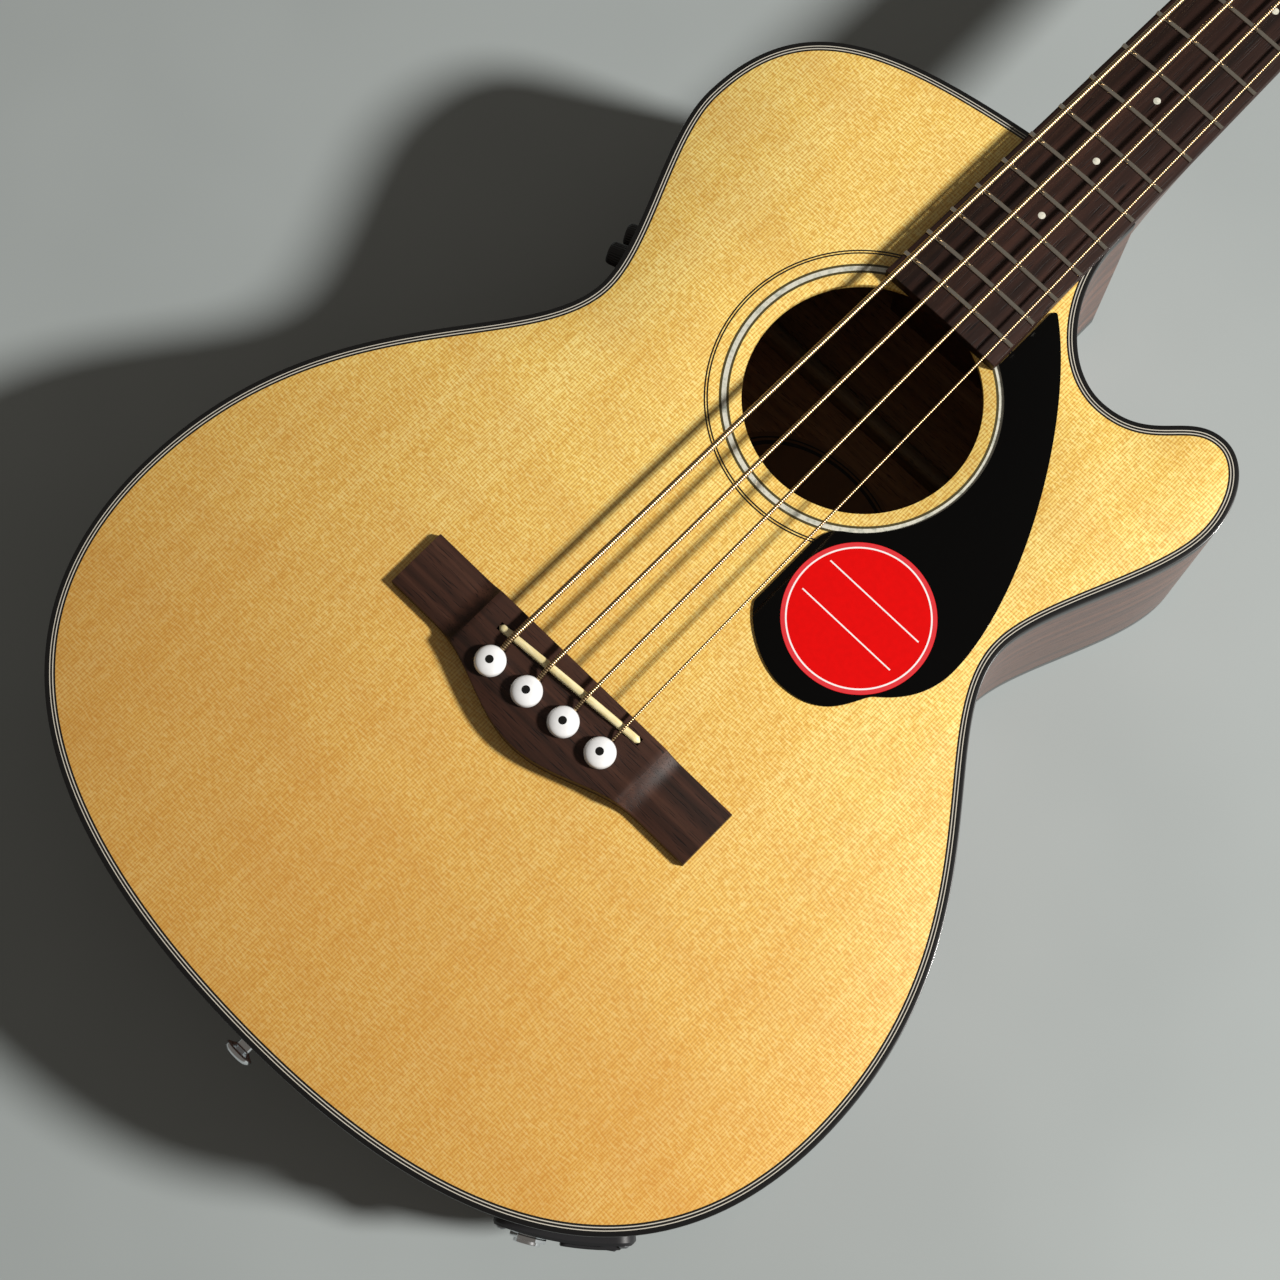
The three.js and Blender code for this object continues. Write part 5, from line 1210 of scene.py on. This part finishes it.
def neck_ring(y, depth):
    half = board_half(min(y, SCALE)) - 0.4
    angles = [math.pi * i / 40 for i in range(41)]
    return [(-half * math.cos(a), y, -depth * math.sin(a)) for a in angles]


def neck_depth(y):
    from_heel = y - NECK_END - GAP - HEEL_LENGTH
    if from_heel > 0:
        share = from_heel / (SCALE - HEAD_THICK - NECK_END - GAP - HEEL_LENGTH)
        return NECK_DEPTH + (HEAD_THICK - NECK_DEPTH) * min(share, 1)
    return NECK_DEPTH + (HEEL_DEPTH - NECK_DEPTH) * (-from_heel / HEEL_LENGTH) ** 2.6


def pocket():
    """The truss rod's pocket, rounded at its far end."""
    end = POCKET_START + 24.75
    round_end = [(x, end + y) for x, y in ring_points(POCKET_HALF, 32)[1:16]]
    edge = [(-POCKET_HALF, POCKET_START), (POCKET_HALF, POCKET_START), (POCKET_HALF, end)]
    return filled("pocket", [edge + round_end + [(-POCKET_HALF, end)]], -10.9, 30)


def post_place(string):
    return HEAD @ shift(string.side * POST_X, string.post_u, 0)


def post_holes():
    bore = [(POST_RADIUS + GAP, -30), (POST_RADIUS + GAP, 20)]
    return [turned("post_hole", bore, 40, post_place(string)) for string in STRINGS]


root_end = HEAD_ROOT + HEAD_THICK * math.sin(HEAD_TILT)
stations = [NECK_END + GAP + HEEL_LENGTH * i / 30 for i in range(31)]
stations += [stations[-1] + (SCALE - HEAD_THICK - stations[-1]) * i / 24 for i in range(1, 25)]
rings = [neck_ring(y, neck_depth(y)) for y in stations]
for i in range(1, 9):
    share = i / 8
    swell = share * share * (3 - 2 * share)
    rings.append(neck_ring(stations[-1] + (root_end - stations[-1]) * share, HEAD_THICK + 3.5 * swell))
neck = skin("neck_and_heel", rings)
cut(neck, box_mesh("face", (-60, 0, -OVERLAY - LIFT), (60, 60, 40), HEAD))
head = rounded(filled("head", [head_outline()], -HEAD_THICK, -OVERLAY - LIFT, HEAD), 0.8, 2, 50)
cut(neck, head, box_mesh("tenon", (-13, 287, -82), (13, 309, -3.3)), operation="UNION")
cut(neck, box_mesh("rod_slot", (-3.3, 317.7, -9.9), (3.3, HEAD_ROOT + 12, 2)), pocket(), *post_holes())
dress(neck, NECK_MAHOGANY, slot="neck_wood", replaces=["neck"], smooth=28)
overlay = rounded(filled("headstock_face", [head_outline()], -OVERLAY, 0, HEAD), 0.35, 2, 50)
cut(overlay, pocket(), *post_holes())
dress(overlay, BOARD_WOOD, slot="rosewood", replaces=["headstock_overlay"], smooth=28)

nut_place = shift(0, HEAD_ROOT + 7, -6.6) @ rotation(-QUARTER, "X")
hexagon = turned("truss_nut_hexagon", [(4, 0), (4, 8.4), (3.5, 9)], 6, nut_place)
cut(hexagon, turned("socket", [(2.1, 3), (2.1, 12)], 6, nut_place))
dress(hexagon, STEEL, body="truss_rod_nut", slot="chrome_parts", replaces=["truss_rod_nut"], smooth=20)

# Tuners: post with its gear, bushing, plate with ears, worm and key

PLATE_FACE = -HEAD_THICK - GAP
PLATE_BOTTOM = PLATE_FACE - 2
GEAR_TOP = PLATE_BOTTOM - 1.5
GEAR_LOW = GEAR_TOP - 6
WORM_LEVEL = (GEAR_TOP + GEAR_LOW) / 2
WORM_OFFSET = 13.4
TEETH = 16
PLATE_HALF, PLATE_LONG = 14.5, 48
PLATE_LOW = -9 - (PLATE_LONG - 18 - WORM_OFFSET) / 2
EAR = 2.5


def tuner_post(string, base):
    profile = [
        (AXIS, GEAR_LOW), (1.6, GEAR_LOW), (1.9, GEAR_LOW), (POST_RADIUS, GEAR_LOW), (POST_RADIUS, 3.2),
        (4.35, 4.2), (4.3, 10), (4.7, 11.4), (POST_RADIUS, 12), (POST_RADIUS, 15.2), (4.3, 15.8),
        (3.6, 16), (AXIS, 16),
    ]
    finish_as = {"body": f"post_{string.name}", "slot": "chrome_parts"}
    post = turned(f"post_{string.name}_turned", profile, 40, base)
    cut(post, box_mesh("slot", (-1.5, -8, 11.4), (1.5, 8, 20), base))
    dress(post, CHROME, **finish_as, replaces=[f"tuner_post_{string.name}"], smooth=35)
    teeth = []
    for i in range(TEETH):
        for share, radius in ((-0.32, 7.6), (-0.16, 9), (0.16, 9), (0.32, 7.6)):
            a = TURN * (i + share) / TEETH
            teeth.append((radius * math.cos(a), radius * math.sin(a)))
    bore = ring_points(POST_RADIUS - 0.6, 32)[::-1]
    gear = rounded(filled(f"post_{string.name}_gear", [teeth, bore], GEAR_LOW, GEAR_TOP, base), 0.2, 1, 50)
    dress(gear, CHROME, **finish_as, smooth=30)


def tuner_plate(string, base):
    bushing = [
        (POST_RADIUS + 0.35, -0.5), (POST_RADIUS + 0.35, 2.2), (POST_RADIUS + 0.7, 2.5), (6.6, 2.5),
        (7.2, 1.9), (7.2, 1.5), (9.2, 1.3), (9.6, 0.9), (9.6, LIFT), (7, LIFT), (7, -0.5),
    ]
    dress(hollow(f"bushing_{string.name}", bushing, 48, base), CHROME, slot="chrome_parts", smooth=35)
    corner = 3
    right, upper, lower = PLATE_HALF - corner, PLATE_LOW + PLATE_LONG - corner, PLATE_LOW + corner
    edge = []
    for x, y, start in ((right, upper, 0), (-right, upper, 90), (-right, lower, 180), (right, lower, 270)):
        for a in (math.radians(start + 15 * k) for k in range(7)):
            edge.append((x + corner * math.cos(a), y + corner * math.sin(a)))
    bore = ring_points(POST_RADIUS + GAP, 36)[::-1]
    pieces = [rounded(filled("plate", [edge, bore], PLATE_BOTTOM, PLATE_FACE, base), 0.4, 2, 50)]
    for start in (-PLATE_HALF, PLATE_HALF - EAR):
        outline = [(WORM_OFFSET - 5, PLATE_BOTTOM + 0.3), (WORM_OFFSET + 5, PLATE_BOTTOM + 0.3)]
        for a in (math.pi * j / 12 for j in range(13)):
            outline.append((WORM_OFFSET + 5 * math.cos(a), WORM_LEVEL - 4.9 * math.sin(a)))
        rings = [[tuple(base @ Vector((x, y, z))) for y, z in outline] for x in (start, start + EAR)]
        bore = base @ shift(start + 1.2, WORM_OFFSET, WORM_LEVEL) @ rotation(QUARTER, "Y")
        ear = cut(skin("ear", rings), turned("bore", [(2.7, -8), (2.7, 8)], 28, bore))
        pieces.append(rounded(ear, 0.3, 2, 60))
    whole = joined(f"tuner_plate_{string.name}_pressed", pieces)
    dress(whole, CHROME, slot="chrome_parts", replaces=[f"tuner_plate_{string.name}"], smooth=35)
    down = tuple(base.to_3x3() @ Vector((0, 0, -1)))
    places = []
    for x in (-PLATE_HALF + 3.6, PLATE_HALF - 3.6):
        for y in (PLATE_LOW + 3.6, PLATE_LOW + PLATE_LONG - 3.2):
            places.append((tuple(base @ Vector((x, y, PLATE_BOTTOM))), down))
    set_out(f"tuner_screws_{string.name}", screw_pattern(2.1, 1.2), places, CHROME, "chrome_parts")


def worm_thread(place):
    """A coarse screw thread wound round the worm's core."""
    steps, turns, half = 24, 4, 7.6
    ridge = ((2.9, -1.2), (4.0, -0.45), (4.0, 0.45), (2.9, 1.2))
    rings = []
    for i in range(turns * steps + 1):
        z = -half + 2 * half * i / (turns * steps)
        rings.append([polar(place, r, TURN * i / steps, z + h) for r, h in ridge])
    return skin("thread", rings)


def tuner_key(string, base):
    half, start = PLATE_HALF, 19
    side_turn = rotation(0 if string.side > 0 else math.pi, "Z")
    out = base @ shift(0, WORM_OFFSET, WORM_LEVEL) @ side_turn @ rotation(QUARTER, "Y")
    profile = [
        (AXIS, -half), (1.9, -half), (2.4, -half + 0.5), (2.4, -8.5), (3.1, -8.4), (3.1, 8.4),
        (2.4, 8.5), (2.4, half + 0.4), (3.6, half + 0.5), (3.9, half + 0.9), (3.9, half + 1.8),
        (3.5, half + 2.3), (2.4, half + 2.4), (2.4, start), (3.2, start + 2.5), (2.6, start + 7),
        (AXIS, start + 7),
    ]
    finish_as = {"body": f"key_{string.name}", "slot": "chrome_parts"}
    whole = joined(f"key_{string.name}_worm", [turned("shaft", profile, 32, out), worm_thread(out)])
    dress(whole, CHROME, **finish_as, replaces=[f"tuner_key_{string.name}"], smooth=40)
    # the blade is an oval, pinched at its neck and rounded over its edge
    rings, steps = [], 72
    half_blade = ((0, 0), (2.3, -0.1), (3.1, -0.7), (3.5, -1.6))
    for level, grow in (*((-level, grow) for level, grow in half_blade[:0:-1]), *half_blade):
        ring = []
        for along, across in ring_points(1, steps):
            wide = (12 + grow) * across * (1 - 0.16 * max(-along, 0) ** 2)
            ring.append(tuple(out @ Vector((level, wide, start + 10.5 + (10.5 + grow) * along))))
        rings.append(ring)
    dress(skin(f"key_{string.name}_blade", rings), CHROME, **finish_as, smooth=50)


for string in STRINGS:
    for make in (tuner_post, tuner_plate, tuner_key):
        make(string, post_place(string))

# Strap button

button_place = shift(0, -TAIL, -55) @ rotation(QUARTER, "X")
profile = [
    (AXIS, -18), (2.5, -18), (2.5, 0.3), (6.2, 0.3), (6.2, 2.3), (3.6, 2.6), (3.6, 7.4), (7, 9.0),
    (7, 10.6), (5.4, 11.9), (2.6, 11.9), (2.2, 11.3), (AXIS, 11.3),
]
button = turned("strap_button_turned", rounded_profile(profile, 0.8, 5), 56, button_place)
dress(button, CHROME, slot="chrome_parts", replaces=["strap_button"], smooth=35)
profile = rounded_profile([(2.6, 0.02), (7.4, 0.02), (7.4, 0.29), (2.6, 0.29)], 0.1)
dress(turned("strap_felt", profile, 48, button_place), ABS_BLACK, slot="chrome_parts")

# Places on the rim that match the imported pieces, measured on the same coarse outline as the solids

COARSE = traced(TAIL_END, *lower_bends(12, 9))
COARSE_WAIST = next(s for s, point in zip(lengths_along(COARSE), COARSE) if point[1] >= WAIST[1])


def rim_frame(side, distance, span, depth):
    """A place on the rim, side -1 for the bass and 1 for the treble: z points outwards and y up."""
    points = [Vector((x * side, y)) for x, y in COARSE]

    def reached(left):
        for a, b in zip(points, points[1:]):
            step = (b - a).length
            if left <= step:
                return a.lerp(b, left / step)
            left -= step
        return points[-1]

    run = (reached(distance + span / 2) - reached(distance - span / 2)).normalized()
    out, origin = Vector((run.y, -run.x)) * side, reached(distance)
    across, outward = (-out.y, 0, out.x, origin.x), (out.x, 0, out.y, origin.y)
    return Matrix((across, outward, (0, 1, 0, -depth), (0, 0, 0, 1)))


def corner_screws(name, rim, middle, along, up, depth, height, pattern):
    """Four screws at the corners of a plate on the rim."""
    places = []
    for s in (middle - along, middle + along):
        out = rim_place(rim, s)[1]
        places += [(off_rim(rim, s, height, z - depth), (out.x, out.y, 0)) for z in (-up, up)]
    set_out(name, pattern, places, STEEL, "matte_black")


# Preamp panel, its case and controls

PANEL_LONG, PANEL_TALL = 66, 42
PANEL_TOP = GAP + 2.2
CONTROLS = {"volume_knob": (-22, 28, 3.1), "tone_knob": (-4, 46, 3.1), "tuner_button": (20, 38, 4.3)}


def control_place(name):
    along, depth, _ = CONTROLS[name]
    return rim_frame(-1, COARSE_WAIST + UPPER_BOUT + along, 11, depth)


panel_at = ("bass", PREAMP, PANEL_LONG, PREAMP_DEPTH, PANEL_TALL)
panel = rim_plate("preamp_face", *panel_at, LIFT, PANEL_TOP, 5, 0.8)
case_place = rim_frame(-1, COARSE_WAIST + UPPER_BOUT, PANEL_LONG, PREAMP_DEPTH)
long, tall = PREAMP_CASE
case = box_mesh("preamp_case", (-long, -tall, -34), (long, tall, -1.5), case_place)
case = rounded(case, 1.5, 3, 60)
for name, (_, _, bore) in CONTROLS.items():
    cut(panel, turned("bore", [(bore, -20), (bore, 20)], 40, control_place(name)))
    cut(case, turned("bore", [(bore, -12), (bore, 20)], 40, control_place(name)))
dress(panel, ABS_BLACK, slot="matte_black", replaces=["preamp_panel"], smooth=30)
dress(case, ABS_BLACK, slot="matte_black", smooth=40)


def ribbed_knob(name):
    """A knob with thirty ribs and a white pointer; its profile is (radius, height, share of rib)."""
    place, start, ribs, steps = control_place(name), PANEL_TOP + 0.8, 30, 120
    profile = [
        (2.8, -9, 0), (2.8, start, 0), (5.1, start, 0), (5.5, start + 0.4, 0.4), (5.5, start + 1.2, 1),
        (5.15, start + 7.2, 1), (4.9, start + 8.1, 0.3), (4.5, start + 8.5, 0), (3.4, start + 8.5, 0),
        (3.2, start + 8.3, 0),
    ]
    rings = []
    for radius, height, share in profile:
        ring = []
        for a in (TURN * i / steps for i in range(steps)):
            groove = 0.28 * share * (0.5 - 0.5 * math.cos(a * ribs))
            ring.append(polar(place, radius - groove, a, height))
        rings.append(ring)
    knob = skin(name + "_ribbed", rings)
    dress(knob, KNOB_BLACK, body=name, slot="matte_black", replaces=[name], smooth=40)
    low, high = (-0.35, 0.8, start + 8.0), (0.35, 4.4, start + 8.5)
    pointer = rounded(box_mesh(name + "_pointer", low, high, place), 0.1, 1, 60)
    dress(pointer, MARK_WHITE, body=name, slot="matte_black")


ribbed_knob("volume_knob")
ribbed_knob("tone_knob")
top = PANEL_TOP + 1.6
profile = rounded_profile([(AXIS, -8), (4, -8), (4, top), (3.2, top - 0.1), (AXIS, top - 0.5)], 0.5, 4)
cap = turned("tuner_button_cap", profile, 40, control_place("tuner_button"))
dress(cap, KNOB_BLACK, body="tuner_button", slot="matte_black", replaces=["tuner_button"], smooth=40)
corner_screws("preamp_screws", "bass", PREAMP, 28.5, 16.5, PREAMP_DEPTH, PANEL_TOP, screw_pattern(1.9, 0.9))

# Jack plate and jack

JACK_LONG, JACK_TALL = 56, 40
PLATE_TOP = GAP + 4
DRAWER_ALONG, DRAWER_WIDE, DRAWER_HIGH = 11, 21.1, 28.3
CASE_WALL = 1.8
CASE_DEEP = 52.1 + CASE_WALL
jack_place = rim_frame(1, JACK, JACK_LONG, JACK_DEPTH)
socket = rim_frame(1, JACK - 14, 16, JACK_DEPTH)


def drawer_box(name, half_wide, half_high, low, high):
    """A box round the drawer's middle line."""
    lo, hi = (DRAWER_ALONG - half_wide, -half_high, low), (DRAWER_ALONG + half_wide, half_high, high)
    return box_mesh(name, lo, hi, jack_place)


plate_at = ("treble", JACK, JACK_LONG, JACK_DEPTH, JACK_TALL)
plate = rim_plate("jack_plate_face", *plate_at, LIFT, PLATE_TOP, 6, 1.2)
half_wide, half_high = DRAWER_WIDE / 2, DRAWER_HIGH / 2
case = drawer_box("drawer_case", half_wide + CASE_WALL, half_high + CASE_WALL, -CASE_DEEP, PLATE_TOP - 0.6)
room = (half_wide + GAP, half_high + GAP)
cut(case, drawer_box("inside", *room, 1.5 - CASE_DEEP, 30))
cut(plate, drawer_box("window", *room, -10, 30), turned("jack_bore", [(5.9, -10), (5.9, 20)], 48, socket))
dress(plate, ABS_BLACK, slot="matte_black", replaces=["jack_plate"], smooth=30)
dress(case, ABS_BLACK, slot="matte_black", smooth=30)

socket_face = socket @ shift(0, 0, PLATE_TOP)
profile = [
    (AXIS, -27.8), (5.6, -27.8), (5.6, 4.3), (5.2, 4.5), (3.5, 4.5), (3.3, 4.2), (3.3, -25), (AXIS, -25),
]
barrel = turned("jack_barrel", rounded_profile(profile, 0.25, 3), 56, socket_face)
dress(barrel, CHROME, slot="chrome_parts", replaces=["output_jack"], smooth=35)
washer = [(5.65, LIFT), (8, LIFT), (8, 0.5), (7.8, 0.7), (5.65, 0.7)]
dress(hollow("jack_washer", washer, 56, socket_face), CHROME, slot="chrome_parts", smooth=35)
jack_nut = filled("jack_nut", [ring_points(7.6, 6), ring_points(5.65, 36)[::-1]], 0.7, 2.9, socket_face)
dress(rounded(jack_nut, 0.35, 2, 40), CHROME, slot="chrome_parts", smooth=30)

# Battery drawer and battery

lip_low = PLATE_TOP + GAP
lip_at = ("treble", JACK + DRAWER_ALONG, DRAWER_WIDE + 2.4, JACK_DEPTH, DRAWER_HIGH + 2.4)
lip = rim_plate("drawer_lip", *lip_at, lip_low, lip_low + 1.2, 2.5, 0.5)
dress(lip, ABS_BLACK, body="drawer", slot="matte_black", smooth=30)
start = CASE_WALL - CASE_DEEP + 1.5
tray = drawer_box("drawer_tray", half_wide, half_high, CASE_WALL - CASE_DEEP, lip_low + 0.2)
cell_half, cell_low = 8.75, -half_high + 1.5 + GAP
room_low = (DRAWER_ALONG - cell_half - GAP, cell_low - GAP, start)
cut(tray, box_mesh("cell_room", room_low, (DRAWER_ALONG + cell_half + GAP, 40, start + 49.1), jack_place))
tray = rounded(tray, 0.4, 2, 60)
dress(tray, ABS_BLACK, body="drawer", slot="matte_black", replaces=["battery_drawer"], smooth=30)
cell_place = jack_place @ shift(DRAWER_ALONG, cell_low, start + GAP)
cell = box_mesh("battery_cell", (-cell_half, 0, 2.2), (cell_half, 26.5, 48.5), cell_place)
cell = rounded(cell, 2.2, 4, 60)
dress(cell, CELL_JACKET, body="drawer", slot="cell_steel", replaces=["battery"], smooth=40)
terminals = []
for up, radius in ((6.9, 2.9), (19.6, 3.5)):
    profile = [(AXIS, 0.6), (radius * 0.6, 0.6), (radius * 0.62, 0), (radius, 0), (radius, 2.3), (AXIS, 2.3)]
    place = cell_place @ shift(0, up, 0)
    terminals.append(turned("terminal", rounded_profile(profile, 0.2, 2), 24, place))
dress(joined("battery_terminals", terminals), STEEL, body="drawer", slot="cell_steel")
corner_screws("jack_plate_screws", "treble", JACK, 24, 16, JACK_DEPTH, PLATE_TOP, screw_pattern(2.1, 1.0))

# Studio: floor, lamp, world and camera

# pale grey painted board with faint broad clouds and no visible texture
FLOOR = grained(
    "painted_floor", {"Roughness": 0.8}, (300, 300, 300), {"Detail": 3.0},
    [(0.35, "#979e9e"), (0.65, "#a0a7a7")],
)
REACH = 12000
floor_edge = ((-REACH, -REACH), (REACH, -REACH), (REACH, REACH), (-REACH, REACH))
floor = make_mesh("floor", [(x, y, -DEPTH) for x, y in floor_edge], [(0, 1, 2, 3)])
floor.data.materials.append(FLOOR)

scene.view_settings.view_transform = "Standard"
scene.world = bpy.data.worlds.new("studio")
scene.world.use_nodes = True
background = scene.world.node_tree.nodes["Background"]
background.inputs["Color"].default_value = linear("#f3e9dd")
background.inputs["Strength"].default_value = 0.16

light = bpy.data.lights.new("key_lamp", "AREA")
light.shape = "DISK"
light.size = 0.44
light.energy = 188
light.color = linear("#fffcf8")[:3]
key_lamp = bpy.data.objects.new("key_lamp", light)
key_lamp.location = at(2300, 1480, 2010)
key_lamp.rotation_euler = (at(0, 60, 0) - key_lamp.location).to_track_quat("-Z", "Y").to_euler()
scene.collection.objects.link(key_lamp)

# the camera's place and turn, solved from the fret spacing, the soundhole and the body's edge
camera = bpy.data.cameras.new("camera")
camera.sensor_width = 36
camera.lens = 65.774
camera.shift_x = -0.02008
camera.shift_y = -0.03884
camera.clip_start = 0.05
right, down, ahead = (
    Vector(row) for row in (
        (0.714024, 0.699929, -0.016412), (0.675195, -0.694612, -0.248245), (-0.185154, 0.166171, -0.968558)
    )
)
place = Matrix((right, -down, -ahead)).transposed().to_4x4()
place.translation = at(174.876, -102.725, 919.213)
view = bpy.data.objects.new("camera", camera)
view.matrix_world = place
scene.collection.objects.link(view)
scene.camera = view
